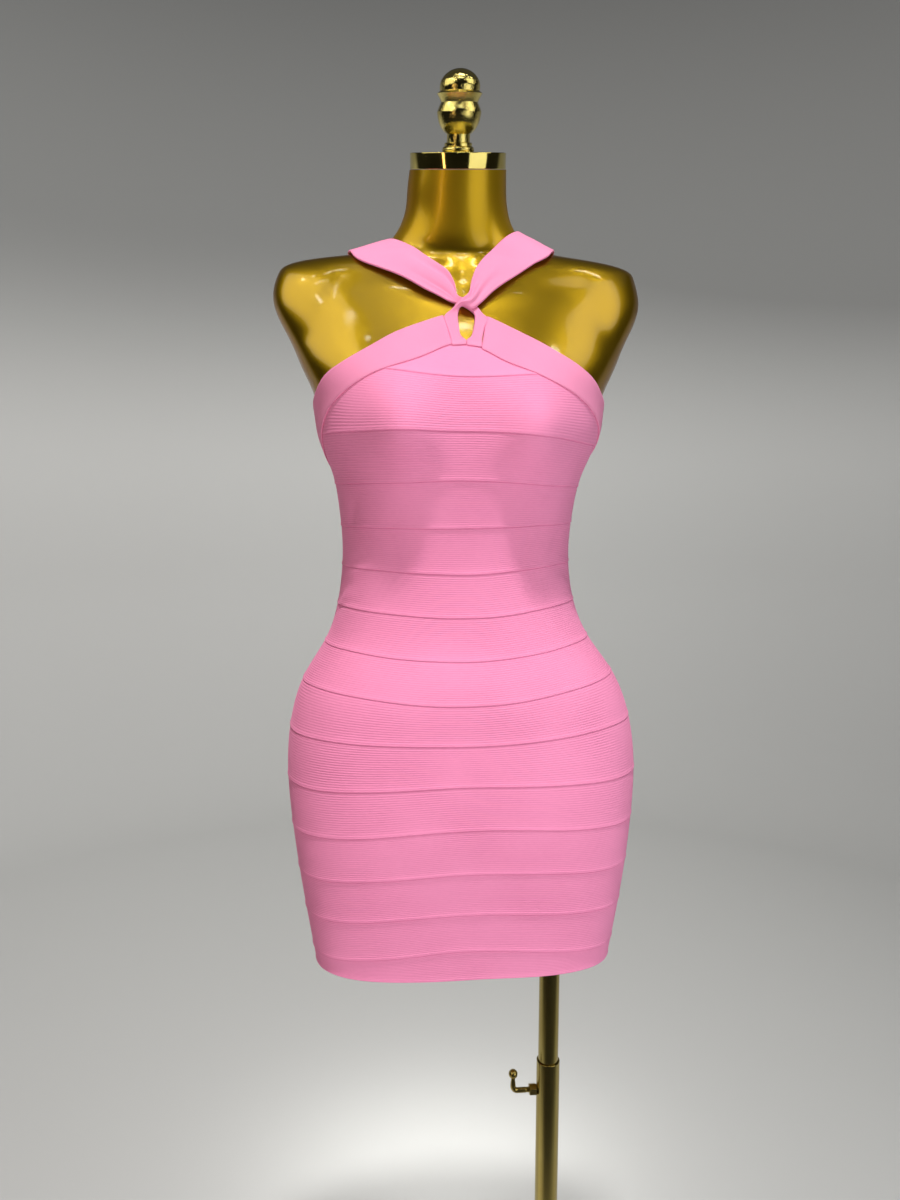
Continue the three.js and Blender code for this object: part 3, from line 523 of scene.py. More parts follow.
def even_levels(low, high, count):
    """Levels that lie about evenly along the form's surface."""
    fine = np.linspace(low, high, 1500)
    line = form_point(np.array([0.0, 45, 90, 135, 180])[:, None], fine[None])
    run = np.linalg.norm(np.diff(line, axis=1), axis=2).max(axis=0)
    along = np.concatenate([[0], np.cumsum(run)])
    return np.interp(np.linspace(0, along[-1], count), along, fine)


def clearance(level):
    """From the form to the inside of the cloth: a little more over the rounder chest."""
    sizes = bpy.context.scene.dress_sizes
    return mix(sizes.clearance, sizes.chest_clearance, ease(1262, 1290, level)) / MM


def seam_level(seam, angle):
    """The level of a band's seam, with a slight unevenness of its own."""
    facing = np.cos(np.radians(angle))
    middle = np.where(facing > 0, BAND_SEAMS["front"][seam], BAND_SEAMS["back"][seam])
    turn = np.radians(angle)
    side = np.where(np.sin(turn) < 0, BAND_SEAMS["left"][seam], BAND_SEAMS["right"][seam])
    uneven = 0.2 * np.sin(5 * turn + 1.7 * seam) + 0.12 * np.sin(11 * turn + 2.9 * seam)
    return mix(side, middle, facing**4) + uneven


def neckline(edge, angle):
    """The level of the neckline band's lower or upper edge."""
    away = (angle + 180) % 360 - 180
    columns_read = (NECKLINE[side + edge] for side in ("left_", "right_"))
    left, right = (spline(abs(away), NECKLINE["angle"], column) for column in columns_read)
    return np.where(away < 0, left, right)


def chest_seam_level(angle):
    rise = np.where(angle < 0, CHEST_SEAM["left_rise"], CHEST_SEAM["right_rise"])
    return CHEST_SEAM["level"] + rise * (angle / CHEST_SEAM["reach"]) ** 2


def crease_height(angle, level):
    """How far the creases raise or sink the knit."""
    total = np.zeros(np.broadcast(angle, level).shape)
    for a, z, heading, length, width, height in zip(*CREASES.values()):
        turn = math.radians(heading)
        right = ((angle - a + 180) % 360 - 180) * CREASE_MM_PER_DEGREE
        up = level - z
        along = right * math.cos(turn) + up * math.sin(turn)
        across = up * math.cos(turn) - right * math.sin(turn)
        bowed = across + 0.006 * along**2
        total = total + height * bell(along, length) * bell(bowed, width)
    return total


class Amount:
    """A socket of a finish that can stand in sums and products, as a number would."""

    def __init__(self, finish, socket):
        self.finish = finish
        self.socket = socket

    def math(self, operation, *values):
        return self.finish.node("ShaderNodeMath", {"operation": operation}, dict(enumerate(values)))

    def __add__(self, other):
        return self.math("ADD", self, other)

    def __radd__(self, other):
        return self.math("ADD", other, self)

    def __sub__(self, other):
        return self.math("SUBTRACT", self, other)

    def __rsub__(self, other):
        return self.math("SUBTRACT", other, self)

    def __mul__(self, other):
        return self.math("MULTIPLY", self, other)

    def __rmul__(self, other):
        return self.math("MULTIPLY", other, self)

    def sine(self):
        return self.math("SINE", self)


class Finish:
    """A material: a Principled shader, its constants, and the nodes that feed it."""

    def __init__(self, name, constants):
        self.material = bpy.data.materials.new(name)
        self.material.use_nodes = True
        self.tree = self.material.node_tree
        self.tree.nodes.clear()
        self.shader = self.tree.nodes.new("ShaderNodeBsdfPrincipled")
        output = self.tree.nodes.new("ShaderNodeOutputMaterial")
        self.tree.links.new(self.shader.outputs[0], output.inputs["Surface"])
        for label, value in constants.items():
            self.shader.inputs[label].default_value = value

    def node(self, kind, settings=None, inputs=None, output=0):
        """Adds a node: first its settings, then the values or links of its sockets."""
        made = self.tree.nodes.new(kind)
        for key, value in (settings or {}).items():
            setattr(made, key, value)
        for key, value in (inputs or {}).items():
            if isinstance(value, Amount):
                self.tree.links.new(value.socket, made.inputs[key])
            else:
                made.inputs[key].default_value = value
        return Amount(self, made.outputs[output])

    def feed(self, label, amount):
        self.tree.links.new(amount.socket, self.shader.inputs[label])

    def blend(self, share, first, second):
        """A colour between two others."""
        return self.node("ShaderNodeMix", {"data_type": "RGBA"}, {"Factor": share, 6: first, 7: second}, 2)

    def noise(self, place, scale, detail=2.0, rough=0.5):
        """Soft noise over the surface: scale is a number, or one for each of its axes."""
        if isinstance(scale, tuple):
            place = self.node("ShaderNodeVectorMath", {"operation": "MULTIPLY"}, {0: place, 1: scale})
            scale = 1.0
        sockets = {"Vector": place, "Scale": scale, "Detail": detail, "Roughness": rough}
        return self.node("ShaderNodeTexNoise", None, sockets)

    def place(self):
        """The point of the surface in the object's own metres."""
        return self.node("ShaderNodeTexCoord", output="Object")

    def part(self, vector, axis):
        return self.node("ShaderNodeSeparateXYZ", None, {0: vector}, axis)

    def stored(self, name):
        """The number that each vertex keeps under that name."""
        return self.node("ShaderNodeAttribute", {"attribute_name": name}, output="Fac")

    def ramp(self, amount, low, high):
        """Rises smoothly from 0 at low to 1 at high."""
        return self.node(
            "ShaderNodeMapRange",
            {"interpolation_type": "SMOOTHSTEP"},
            {"Value": amount, "From Min": low, "From Max": high},
        )

    def raise_by(self, height, distance):
        """Turns a height over the surface into its relief."""
        sockets = {"Strength": 1.0, "Distance": distance, "Height": height}
        self.feed("Normal", self.node("ShaderNodeBump", None, sockets))


def rgba(colour, factor=1.0):
    return tuple(min(1.0, part * factor) for part in colour) + (1.0,)


def nap(colour, roughness, shine, weight, spread):
    """A cloth's constants, with the sheen of its nap in a paler tone of its colour."""
    return {
        "Roughness": roughness,
        "Specular IOR Level": shine,
        "Sheen Weight": weight,
        "Sheen Roughness": spread,
        "Sheen Tint": rgba(colour, 1.1),
    }


def knit_finish():
    """Ribbed bandage knit: fine raised courses that follow the seams, and a soft nap, with shade painted
    between the ribs and under the seams.
    """
    colours, sizes = bpy.context.scene.dress_colours, bpy.context.scene.dress_sizes
    finish = Finish("ribbed pink knit", nap(colours.knit, 0.72, 0.25, 0.25, 0.45))
    ribs_up = finish.part(finish.node("ShaderNodeUVMap", {"uv_map": "knit"}), "Y")
    ribbed, groove_shade = finish.stored("ribbed"), finish.stored("groove_shade")
    place = finish.place()
    rib = (ribs_up * (2 * math.pi)).sine() * 0.5 + 0.5
    loops = finish.noise(place, (200.0, 200.0, 800.0), 2.0)
    patches = finish.noise(place, 26.0, 3.0)
    strength = ribbed * (finish.noise(place, 14.0, 1.0) * 1.6 - 0.1)
    # Painted shade: darker between the ribs and along the grooves under the seams; the patches and loops are
    # the knit's own uneven tone
    shade = (1 - rib) * strength * 0.28 + groove_shade * 0.35 + (patches - 0.5) * 0.1 + (loops - 0.5) * 0.18
    finish.feed("Base Color", finish.blend(shade, rgba(colours.knit), rgba(colours.knit_deep_and_shade)))
    finish.raise_by(rib * strength + loops * 0.2, sizes.rib_depth)
    return finish.material


def band_finish():
    """The smooth doubled knit of the neckline band and the straps."""
    colours = bpy.context.scene.dress_colours
    finish = Finish("smooth pink knit", nap(colours.band, 0.66, 0.28, 0.3, 0.4))
    place = finish.place()
    loops = finish.noise(place, 1300.0, 1.0)
    patches = finish.noise(place, 30.0, 3.0)
    shade = (patches - 0.5) * 0.16 + (loops - 0.5) * 0.16 + 0.05
    finish.feed("Base Color", finish.blend(shade, rgba(colours.band), rgba(colours.knit_deep_and_shade)))
    finish.raise_by(loops, 0.00012)
    return finish.material


def form_finish():
    """Gold metallic paint, lacquered on the chest and shoulders and more satin up the neck."""
    colours = bpy.context.scene.dress_colours
    constants = {"Specular Tint": (0.40, 0.24, 0.04, 1.0), "Coat Roughness": 0.08, "Coat IOR": 1.45}
    finish = Finish("gold lacquer", constants)
    place = finish.place()
    flake = finish.noise(place, 1400.0, 1.0)
    clouds = finish.noise(place, 9.0, 3.0)
    neck = finish.ramp(finish.part(place, "Z"), *SATIN_NECK)
    colour = finish.blend((clouds - 0.5) * 0.5 + 0.25, rgba(colours.gold), rgba(colours.gold_deep))
    finish.feed("Base Color", colour)
    finish.feed("Roughness", 0.3 + (flake - 0.5) * 0.06)
    finish.feed("Coat Weight", 0.75 - neck * 0.6)
    finish.feed("Metallic", 0.95 - neck * 0.25)
    finish.raise_by(flake + clouds * 2.0, 0.00004)
    return finish.material


def brass_finish():
    """Polished and lacquered brass with the faintest turning marks."""
    colours = bpy.context.scene.dress_colours
    finish = Finish("polished brass", {"Metallic": 1.0})
    place = finish.place()
    streaked = finish.stored("streaked")
    streaks = finish.noise(place, (1300.0, 1300.0, 150.0), 1.0)
    smudge = finish.noise(place, 60.0, 3.0)
    finish.feed("Base Color", finish.blend(smudge * 0.3, rgba(colours.brass), rgba(colours.gold_deep)))
    finish.feed("Roughness", 0.05 + smudge * 0.06)
    finish.raise_by(streaks * (streaked * 0.97 + 0.03), 0.0002)
    return finish.material


def pole_finish(name, colour, roughness):
    """Satin plated tube with lengthwise polishing lines and hand marks."""
    colours = bpy.context.scene.dress_colours
    finish = Finish(name, {"Metallic": 1.0})
    place = finish.place()
    lines = finish.noise(place, (900.0, 900.0, 9.0), 2.0)
    marks = finish.noise(place, 22.0, 4.0, 0.6)
    finish.feed("Base Color", finish.blend(marks * 0.5, rgba(colour), rgba(colours.gold_deep)))
    finish.feed("Roughness", roughness + (marks - 0.5) * 0.12 + (lines - 0.5) * 0.05)
    finish.raise_by(lines, 0.00001)
    return finish.material


def ready(name, make):
    """The material of that name, made on its first use."""
    return bpy.data.materials.get(name) or make()


def mesh_object(name, points, faces, material, sharp=None):
    """A smooth mesh object from points in millimetres, with its faces turned out."""
    mesh = bpy.data.meshes.new(name)
    mesh.from_pydata((np.asarray(points) * MM).tolist(), [], [list(map(int, face)) for face in faces])
    mesh.polygons.foreach_set("use_smooth", np.ones(len(mesh.polygons), bool))
    mesh.calc_loop_triangles()
    corners = np.empty(3 * len(mesh.loop_triangles), np.int32)
    mesh.loop_triangles.foreach_get("vertices", corners)
    p, q, r = np.moveaxis(np.asarray(points)[corners.reshape(-1, 3)], 1, 0)
    if (p * np.cross(q, r)).sum() < 0:
        mesh.flip_normals()
    if sharp is not None:
        mesh.set_sharp_from_angle(angle=math.radians(sharp))
    mesh.materials.append(material)
    made = bpy.data.objects.new(name, mesh)
    bpy.context.scene.collection.objects.link(made)
    return made


def settle(piece, body, node):
    """The piece rides on a body and stands in for a CAD node, which it hides."""
    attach(piece, body)
    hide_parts(node)
    return piece


def store(piece, name, values):
    """Keeps a number for each vertex, for the finish to read."""
    layer = piece.data.attributes.new(name, "FLOAT", "POINT")
    layer.data.foreach_set("value", np.asarray(values, np.float32).ravel())


def unfold(piece, across, up):
    """Gives the piece a flat layout from two numbers for each vertex."""
    layer = piece.data.uv_layers.new(name="knit")
    corners = np.empty(len(piece.data.loops), np.int32)
    piece.data.loops.foreach_get("vertex_index", corners)
    flat = np.stack([np.ravel(across)[corners], np.ravel(up)[corners]], axis=-1)
    layer.data.foreach_set("uv", flat.astype(np.float32).ravel())


def grid_faces(numbers):
    """Four-sided faces between the rows and columns of a grid of vertex numbers."""
    a, b = numbers[:-1, :-1], numbers[:-1, 1:]
    c, d = numbers[1:, 1:], numbers[1:, :-1]
    return np.stack([a, b, c, d], axis=-1).reshape(-1, 4).tolist()


def closed_loops(loops, closed_path=False):
    """Faces over rings of points, each ring closed: the ends are capped unless the path closes."""
    count, around = loops.shape[:2]
    numbers = np.arange(count * around).reshape(count, around)
    wrapped = np.concatenate([numbers, numbers[:, :1]], axis=1)
    if closed_path:
        wrapped = np.concatenate([wrapped, wrapped[:1]], axis=0)
        return grid_faces(wrapped)
    return grid_faces(wrapped) + [numbers[0, ::-1].tolist(), numbers[-1].tolist()]


def turned(profile, sides, closed=False):
    """Points and faces of a turned body round Z, from pairs of radius and height."""
    turn = np.linspace(0, 2 * math.pi, sides, endpoint=False)
    profile = np.asarray(profile, float)
    ends = [] if closed else [i for i in (0, len(profile) - 1) if profile[i, 0] < 1e-9]
    rings = profile if closed else profile[[i for i in range(len(profile)) if i not in ends]]
    radius, height = rings[:, :1], rings[:, 1:]
    points = np.stack(
        [radius * np.cos(turn), radius * np.sin(turn), height + 0 * turn], axis=-1
    ).reshape(-1, 3)
    numbers = np.arange(len(points)).reshape(len(rings), sides)
    wrapped = np.concatenate([numbers, numbers[:, :1]], axis=1)
    if closed:
        wrapped = np.concatenate([wrapped, wrapped[:1]], axis=0)
    faces = grid_faces(wrapped)
    for end in ends:
        points = np.vstack([points, [0, 0, profile[end, 1]]])
        ring = wrapped[0] if end == 0 else wrapped[-1]
        pairs = zip(ring[:-1], ring[1:])
        faces += [[len(points) - 1, b, a] if end == 0 else [len(points) - 1, a, b] for a, b in pairs]
    return points, faces


def softened(corners, radius, steps=4):
    """The corners of a profile, each but the ends rounded over about that radius."""
    corners = np.asarray(corners, float)
    line = [corners[0]]
    for before, corner, after in zip(corners, corners[1:], corners[2:]):
        cut = [min(radius, 0.45 * np.linalg.norm(end - corner)) for end in (before, after)]
        start = corner + (before - corner) * cut[0] / np.linalg.norm(before - corner)
        stop = corner + (after - corner) * cut[1] / np.linalg.norm(after - corner)
        for i in range(steps + 1):
            t = i / steps
            line.append((1 - t) ** 2 * start + 2 * t * (1 - t) * corner + t * t * stop)
    return np.array([*line, corners[-1]])


def drawn_through(points, step):
    """A smooth line through points, with its own points about a step apart."""
    points = np.asarray(points, float)
    along = np.concatenate([[0], np.cumsum(np.linalg.norm(np.diff(points, axis=0), axis=1))])
    at = np.linspace(0, along[-1], max(2, int(along[-1] / step) + 2))
    if len(points) < 3:
        return np.stack([np.interp(at, along, column) for column in points.T], axis=-1)
    return np.stack([spline(at, along, column) for column in points.T], axis=-1)


# The dress


def panel_angles(middle):
    """Angles across a panel, closer together beside its two side seams."""
    per_mm = degrees_for(1.0, 90, 1000)
    inner = np.linspace(-90, 90, bpy.context.scene.dress_sizes.panel_columns + 1)[1:-1]
    edge = -90 + np.array(SIDE_STEPS) * per_mm
    return middle + np.concatenate([edge, inner[inner > edge[-1] + 0.3][:-1], -edge[::-1]])


def panel_levels(angle, seams, top):
    """Levels of the rows at each angle, from the hem to the top edge."""
    rows = []
    profile = SEAM_PROFILE["height"]
    for i, seam in enumerate(seams):
        near = np.array([0.0, 0.25, *profile[profile > 0.3]]) if i == 0 else profile
        rows += [seam + height for height in near[:-1]]
        following = seams[i + 1] + profile[0] if i + 1 < len(seams) else top
        start = seam + profile[-2]
        shares = np.linspace(0, 1, ROWS_BETWEEN + 2)[1:-1]
        rows += [mix(start, np.maximum(following, start + 1), share) for share in shares]
    levels = np.array([*rows, top])
    least = 0.15 * np.arange(len(levels))[::-1, None]
    return np.minimum(levels, top - least)


def seam_relief(levels, seams, top):
    """How far the bands' edges stand out and how deep the grooves under them are, as shares, and where shade
    is painted along those grooves.
    """
    ridge, groove_shade = np.zeros(levels.shape), np.zeros(levels.shape)
    for i, seam in enumerate(seams):
        height = levels - seam
        share = np.interp(height, SEAM_PROFILE["height"], SEAM_PROFILE["share"], 0, 0)
        is_chest_seam = i == len(BAND_SEAMS["front"])
        fade = ease(0, 2.5, top - seam) if is_chest_seam else 1
        ridge += (share if i else np.maximum(share, 0)) * fade
        # Painted shade: a dark line along the groove under each seam
        groove_shade += (bell(height + 0.4, 0.45) if i else 0) * fade
    return ridge, groove_shade


def rib_numbers(levels, seams):
    """Counts the fine ribs up from the hem, with a whole number of them in each band."""
    nominal = [*BAND_SEAMS["front"], CHEST_SEAM["level"], CHEST_SEAM["level"] + TOP_BAND]
    nominal = nominal[: len(seams) + 1]
    ladder = np.round(np.subtract(nominal, nominal[0]) / RIB_PITCH)
    number = np.empty(levels.shape)
    for column in range(levels.shape[1]):
        steps = [*(seam[column] for seam in seams), seams[-1][column] + TOP_BAND]
        number[:, column] = np.interp(levels[:, column], steps, ladder)
    return number


def rounded(distance, reach, least):
    """A quarter round that grows from its least share at an edge to 1 at its reach."""
    return least + (1 - least) * np.sqrt(1 - (1 - np.clip(distance / reach, 0, 1)) ** 2)


def knit_panel(name, middle):
    """One panel of the dress: outer rows with the bands' raised edges over a plain inside."""
    sizes = bpy.context.scene.dress_sizes
    is_front = middle == 0
    angle = panel_angles(middle)
    top = neckline("lower", angle) - 0.1
    count = len(BAND_SEAMS["front"]) - (0 if is_front else 1)
    seams = [seam_level(i, angle) for i in range(count)]
    if is_front:
        seams.append(chest_seam_level(angle))
    levels = panel_levels(angle, seams, top)
    ridge, groove_shade = seam_relief(levels, seams, top)
    shown = ease(0, 3, top - levels)
    beside = np.minimum(angle - angle[0], angle[-1] - angle) / degrees_for(1.0, 90, 1000)
    edge_round = rounded(beside, SIDE_STEPS[-1], 0.35) * rounded(levels - seams[0], 0.9, 0.4)
    thick = sizes.knit_thickness / MM
    raised = ridge * shown * sizes.ridge_height / MM + crease_height(angle, levels) * shown
    outer = off_form(angle, levels, clearance(levels) + (thick + raised) * edge_round)
    kept = [*range(0, len(levels) - 1, 5), len(levels) - 1]
    hem_inside = np.where(levels[kept] - seams[0] < 0.3, 0.3, 0)
    inner = off_form(angle, levels[kept], clearance(levels[kept]) + hem_inside)
    width = len(angle)
    out = np.arange(outer[..., 0].size).reshape(-1, width)
    back = np.arange(inner[..., 0].size).reshape(-1, width) + out.size
    faces = grid_faces(out) + grid_faces(back[:, ::-1])
    faces += grid_faces(np.stack([back[0], out[0]])) + grid_faces(np.stack([out[-1], back[-1]]))
    for column, order in ((0, 1), (-1, -1)):
        for i, (low, high) in enumerate(zip(kept, kept[1:])):
            face = [*out[low : high + 1, column], back[i + 1, column], back[i, column]]
            faces.append(face[::order])
    points = np.concatenate([outer.reshape(-1, 3), inner.reshape(-1, 3)])
    piece = mesh_object(name, points, faces, ready("ribbed pink knit", knit_finish))
    smooth = ease(-1, 1, levels - chest_seam_level(angle)) if is_front else 0
    across = np.broadcast_to((angle - angle[0]) / (angle[-1] - angle[0]), levels.shape)

    def both(values):
        return np.concatenate([values.ravel(), values[kept].ravel()])

    unfold(piece, both(across), both(rib_numbers(levels, seams)))
    store(piece, "ribbed", both(np.ones(levels.shape) - smooth))
    # Where the finish paints shade along the grooves under the seams
    store(piece, "groove_shade", both(groove_shade * shown))
    return settle(piece, "form", name)


def neckline_band(name, side):
    """A band from the foot of a strap round under the arm to the middle of the back."""
    sizes = bpy.context.scene.dress_sizes
    foot, head = abs(place_on_form(np.array(LOOP_SEAM) * (side, 1, 1))[0])
    share, rise, out = (BAND_PROFILE[key] for key in ("share", "rise", "out"))
    start = mix(foot, head, share) + degrees_for(-BAND_LAP, 5, 1370)
    stop = 180 - degrees_for(0.02, 180, 1230)
    run = np.concatenate([[0, 0.0015, 0.004, 0.008], np.linspace(0.014, 0.996, 168), [0.999, 1]])
    angle = start + (stop - start) * run[:, None]
    lower, upper = neckline("lower", side * angle), neckline("upper", side * angle)
    level = mix(lower, upper, share) + rise
    base = mix(clearance(lower), sizes.chest_clearance / MM, share)
    turn = np.radians(angle)
    wave = 0.22 * np.sin(9 * turn + 1.3 + side) * np.sin(np.pi * share)
    height = np.where(out > 2, (out + wave) * rounded(run[:, None] * BAND_LENGTH, 2.0, 0.6), out)
    loops = off_form(side * angle, level, base + height)
    points = loops.reshape(-1, 3)
    piece = mesh_object(name, points, closed_loops(loops), ready("smooth pink knit", band_finish))
    return settle(piece, "form", name)


def fold_height(folds, row, across):
    """How far the folds raise or sink a strap."""
    total = np.zeros(np.broadcast(row, across).shape)
    for first, last, start, stop, width, height in zip(*folds.values()):
        run = np.clip((row - first) / (last - first), 0, 1)
        total = total + height * np.sin(math.pi * run) ** 0.8 * bell(across - mix(start, stop, run), width)
    return total


def halter_strap(name, table, folds):
    """A strap along its table's rows, with thin edges, and folds where it is gathered."""
    rows = np.arange(len(table["lift"]), dtype=float)
    centre = [(table["near_" + k] + table["far_" + k]) / 2 for k in "xyz"]
    gaps = np.linalg.norm(np.diff(np.stack(centre, -1), axis=0), axis=1)
    along = np.concatenate([[0], np.cumsum(gaps)])
    at = np.concatenate([np.linspace(a, b, 4, endpoint=False) for a, b in zip(along[:3], along[1:4])])
    at = np.concatenate([at, np.arange(along[3], along[-1], 1.8), along[-1:]])
    near, far = (
        np.stack([spline(at, along, table[edge + k]) for k in "xyz"], axis=-1) for edge in ("near_", "far_")
    )
    read = (table["lift"], table["stand"], table["thick"], rows)
    lift, stand, thick, row = (np.interp(at, along, values)[:, None] for values in read)
    width = np.linalg.norm(far - near, axis=1, keepdims=True)
    edge_mm = np.array([0, 0.35, 0.9, 1.7])
    edge_share = np.array([0.5, 0.82, 0.98, 1.0])
    margin = np.minimum(edge_mm / width, 0.25 * edge_mm / 1.7)
    middle = mix(margin[:, -1:], 1 - margin[:, -1:], np.linspace(0, 1, 17)[1:-1])
    over = np.concatenate([margin, middle, 1 - margin[:, ::-1]], axis=1)
    full = np.concatenate([edge_share, np.ones(middle.shape[1]), edge_share[::-1]])
    bead = 0.18 * (bell(over * width - 1.0, 0.8) + bell((1 - over) * width - 1.0, 0.8))
    under = over[:, ::-1][:, 1:-1]
    under_full = 1 - full[::-1][1:-1]
    across = np.concatenate([over, under], axis=1)
    share = np.concatenate([full, under_full])
    extra = np.concatenate([bead, np.zeros(under.shape)], axis=1)
    points = near[:, None] + (far - near)[:, None] * across[..., None]
    shape = across.shape
    angle, level = (v.reshape(shape) for v in place_on_form(points.reshape(-1, 3)))
    fold = fold_height(folds, row, across)
    surface = form_point(angle, level)
    over_form = ((points - surface) * (off_form(angle, level, 1) - surface)).sum(-1)
    edges = [over_form[:, [index]] for index in (0, over.shape[1] - 1)]
    bridge = np.clip(over_form - mix(edges[0], edges[1], across), 0, 8)
    height = lift + bridge + stand * across**2 + thick * share + extra + fold * mix(0.35, 1, share)
    loops = off_form(angle, level, np.maximum(height, 0.9))
    material = ready("smooth pink knit", band_finish)
    piece = mesh_object(name, loops.reshape(-1, 3), closed_loops(loops), material)
    return settle(piece, "form", name)


# The form and the neck


def hollow_depth(points):
    """How deep the shallow hollows beside the collarbones are at some points."""
    x, z = points[..., 0], points[..., 2]
    total = np.zeros(x.shape)
    for ax, az, bx, bz, width, depth in zip(*HOLLOWS.values()):
        length = (bx - ax) ** 2 + (bz - az) ** 2
        run = np.clip(((x - ax) * (bx - ax) + (z - az) * (bz - az)) / length, 0, 1)
        away = np.hypot(x - mix(ax, bx, run), z - mix(az, bz, run))
        total = np.maximum(total, depth * bell(away, width))
    return total * ease(10, -10, points[..., 1])


def form_torso():
    """The limbless form, with a rounded foot edge and flat ends."""
    angle = np.linspace(-180, 180, 176, endpoint=False)
    curve = np.radians(np.linspace(0, 90, 6))[:-1]
    foot = FORM_UNDERSIDE + FOOT_ROUND * (1 - np.cos(curve))
    inset = -FOOT_ROUND * (1 - np.sin(curve))
    above = even_levels(FORM_UNDERSIDE + FOOT_ROUND, NECK_TOP, 250)
    level = np.concatenate([foot, above])[:, None]
    out = np.concatenate([inset, np.zeros(len(above))])[:, None]
    out = out - hollow_depth(form_point(angle, level))
    loops = off_form(angle, level, out)
    loops[0, :, 2] = FORM_UNDERSIDE
    material = ready("gold lacquer", form_finish)
    piece = mesh_object("form_torso", loops.reshape(-1, 3), closed_loops(loops), material, sharp=40)
    return settle(piece, "form", "form_torso")


def on_neck(points, foot):
    """Stands a turned body on the forward-leaning neck."""
    at = read_sections(np.array([float(NECK_TOP)]))
    lean = Matrix.Rotation(math.radians(at["lean"][0]), 3, "X")
    heading = Matrix.Rotation(-math.radians(LEAN_HEADING), 3, "Z")
    turn = np.array(heading @ lean)
    return (points + [0, 0, foot]) @ turn.T + [at["x"][0], at["y"][0], NECK_TOP]


def neck_cap():
    """A flat brass cap with fine rounded edges and a slightly dished top."""
    radius, thick = CAP["radius"], CAP["thick"]
    dish = (radius - CAP["dish"], thick - CAP["dish_depth"])
    outline = [(0, 0), (radius, 0), (radius, thick), (dish[0] + 0.8, thick), dish]
    profile = [*softened(outline, 0.7), (17, thick - 0.15), (0, thick - 0.15)]
    points, faces = turned(profile, 160)
    material = ready("polished brass", brass_finish)
    piece = mesh_object("neck_cap", on_neck(points, CAP["foot"]), faces, material, sharp=50)
    return settle(piece, "form", "neck_cap")


def finial():
    """The turned knob with its stepped foot, stem, two ridged balls and dome."""
    line = []
    for stretch in FINIAL_STRETCHES:
        line += drawn_through(stretch, 0.9).tolist()[(1 if line else 0) :]
    line = np.array(line)
    line[:, 0] = np.maximum(line[:, 0], 0)
    points, faces = turned(line, 96)
    points[:, 0] += FINIAL_TILT * points[:, 2]
    material = ready("polished brass", brass_finish)
    piece = mesh_object("finial", on_neck(points, FINIAL_FOOT), faces, material, sharp=28)
    store(piece, "streaked", np.ones(len(points)))
    return settle(piece, "form", "finial")


# The stand


def node_size(node):
    """A node's middle, and its lowest and highest corners, in millimetres."""
    low, high = (np.array(corner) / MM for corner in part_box(node))
    return (low + high) / 2, low, high


def half_width(node):
    middle, low, high = node_size(node)
    return high[0] - middle[0]


def lathed(node, body, material, corners, corner, sides=96, steps=4, hollow=True):
    """A turned piece round the middle of a node's box: a hollow one ends where its profile starts."""
    profile = softened(corners, corner, steps)
    points, faces = turned(profile[:-1] if hollow else profile, sides, closed=hollow)
    middle = node_size(node)[0]
    piece = mesh_object(node, points + [middle[0], middle[1], 0], faces, material, sharp=50)
    return settle(piece, body, node)


def tube(node, body, bore, corner):
    """A tube that fills its node's box, with rounded ends."""
    middle, low, high = node_size(node)
    outside = half_width(node)
    start = (bore, middle[2])
    corners = [start, (bore, low[2]), (outside, low[2]), (outside, high[2]), (bore, high[2]), start]
    return lathed(node, body, pole_material(), corners, corner)


def pole_material(name="satin plated tube", roughness=0.24):
    colour = tuple(bpy.context.scene.dress_colours.pole)
    return ready(name, lambda: pole_finish(name, colour, roughness))


def form_plate():
    """The plate under the form, with the collar that takes the upper tube."""
    low, high = node_size("form_plate")[1:]
    bore = half_width("upper_tube") + REST_GAP
    radius = half_width("form_plate")
    collar = 16
    socket = node_size("upper_tube")[2][2] + REST_GAP
    shoulder = high[2] - 5
    corners = [
        (0, socket),
        (bore, socket),
        (bore, low[2]),
        (collar, low[2]),
        (collar, shoulder - 2),
        (collar + 2, shoulder),
        (radius, shoulder),
        (radius, high[2]),
        (0, high[2]),
    ]
    return lathed("form_plate", "form", pole_material(), corners, 0.8, hollow=False)


def pole_socket():
    """The turned socket that holds the pole on the base."""
    middle, low, high = node_size("pole_socket")
    bore = half_width("lower_tube") + REST_GAP
    radius = half_width("pole_socket")
    waist = radius - 1.5
    corners = [
        (bore, middle[2]),
        (bore, low[2]),
        (radius, low[2]),
        (radius, low[2] + 8),
        (waist, low[2] + 10),
        (waist, high[2] - 5),
        (radius - 4, high[2]),
        (bore, high[2]),
        (bore, middle[2]),
    ]
    return lathed("pole_socket", "stand", pole_material(), corners, 0.8)


def base_disc():
    """The round weighted plate, with a rounded upper edge."""
    low, high = node_size("base_disc")[1:]
    radius = half_width("base_disc")
    corners = [(0, low[2]), (radius - 0.5, low[2]), (radius, low[2] + 0.5), (radius, high[2]), (0, high[2])]
    material = pole_material("satin plated plate", 0.3)
    return lathed("base_disc", "stand", material, corners, 2.4, 192, 6, hollow=False)


def clamp_boss():
    """The six-sided boss on the side of the lower tube, bored for the screw."""
    middle, low, high = node_size("clamp_boss")
    across_corners = (high[2] - low[2]) / 2
    flat = across_corners * math.cos(math.pi / 6)
    length = high[0] - low[0]
    bore = SCREW["bore"]
    corners = [(bore, length / 2), (bore, 0), (flat, 0), (flat, length), (bore, length), (bore, length / 2)]
    points, faces = turned(softened(corners, 0.7)[:-1], 144, closed=True)
    radius = np.hypot(points[:, 0], points[:, 1])
    turn = np.arctan2(points[:, 1], points[:, 0])
    aside = (turn + math.pi / 6) % (math.pi / 3) - math.pi / 6
    hexagon = np.minimum(1 / np.cos(aside), across_corners / flat * 0.985)
    growth = mix(1, hexagon, ease(bore, flat, radius))
    x, y, z = (points * np.stack([growth, growth, np.ones(len(points))], -1)).T
    placed = np.stack([high[0] - z, middle[1] + x, middle[2] + y], axis=-1)
    piece = mesh_object("clamp_boss", placed, faces, pole_material(), sharp=35)
    return settle(piece, "stand", "clamp_boss")


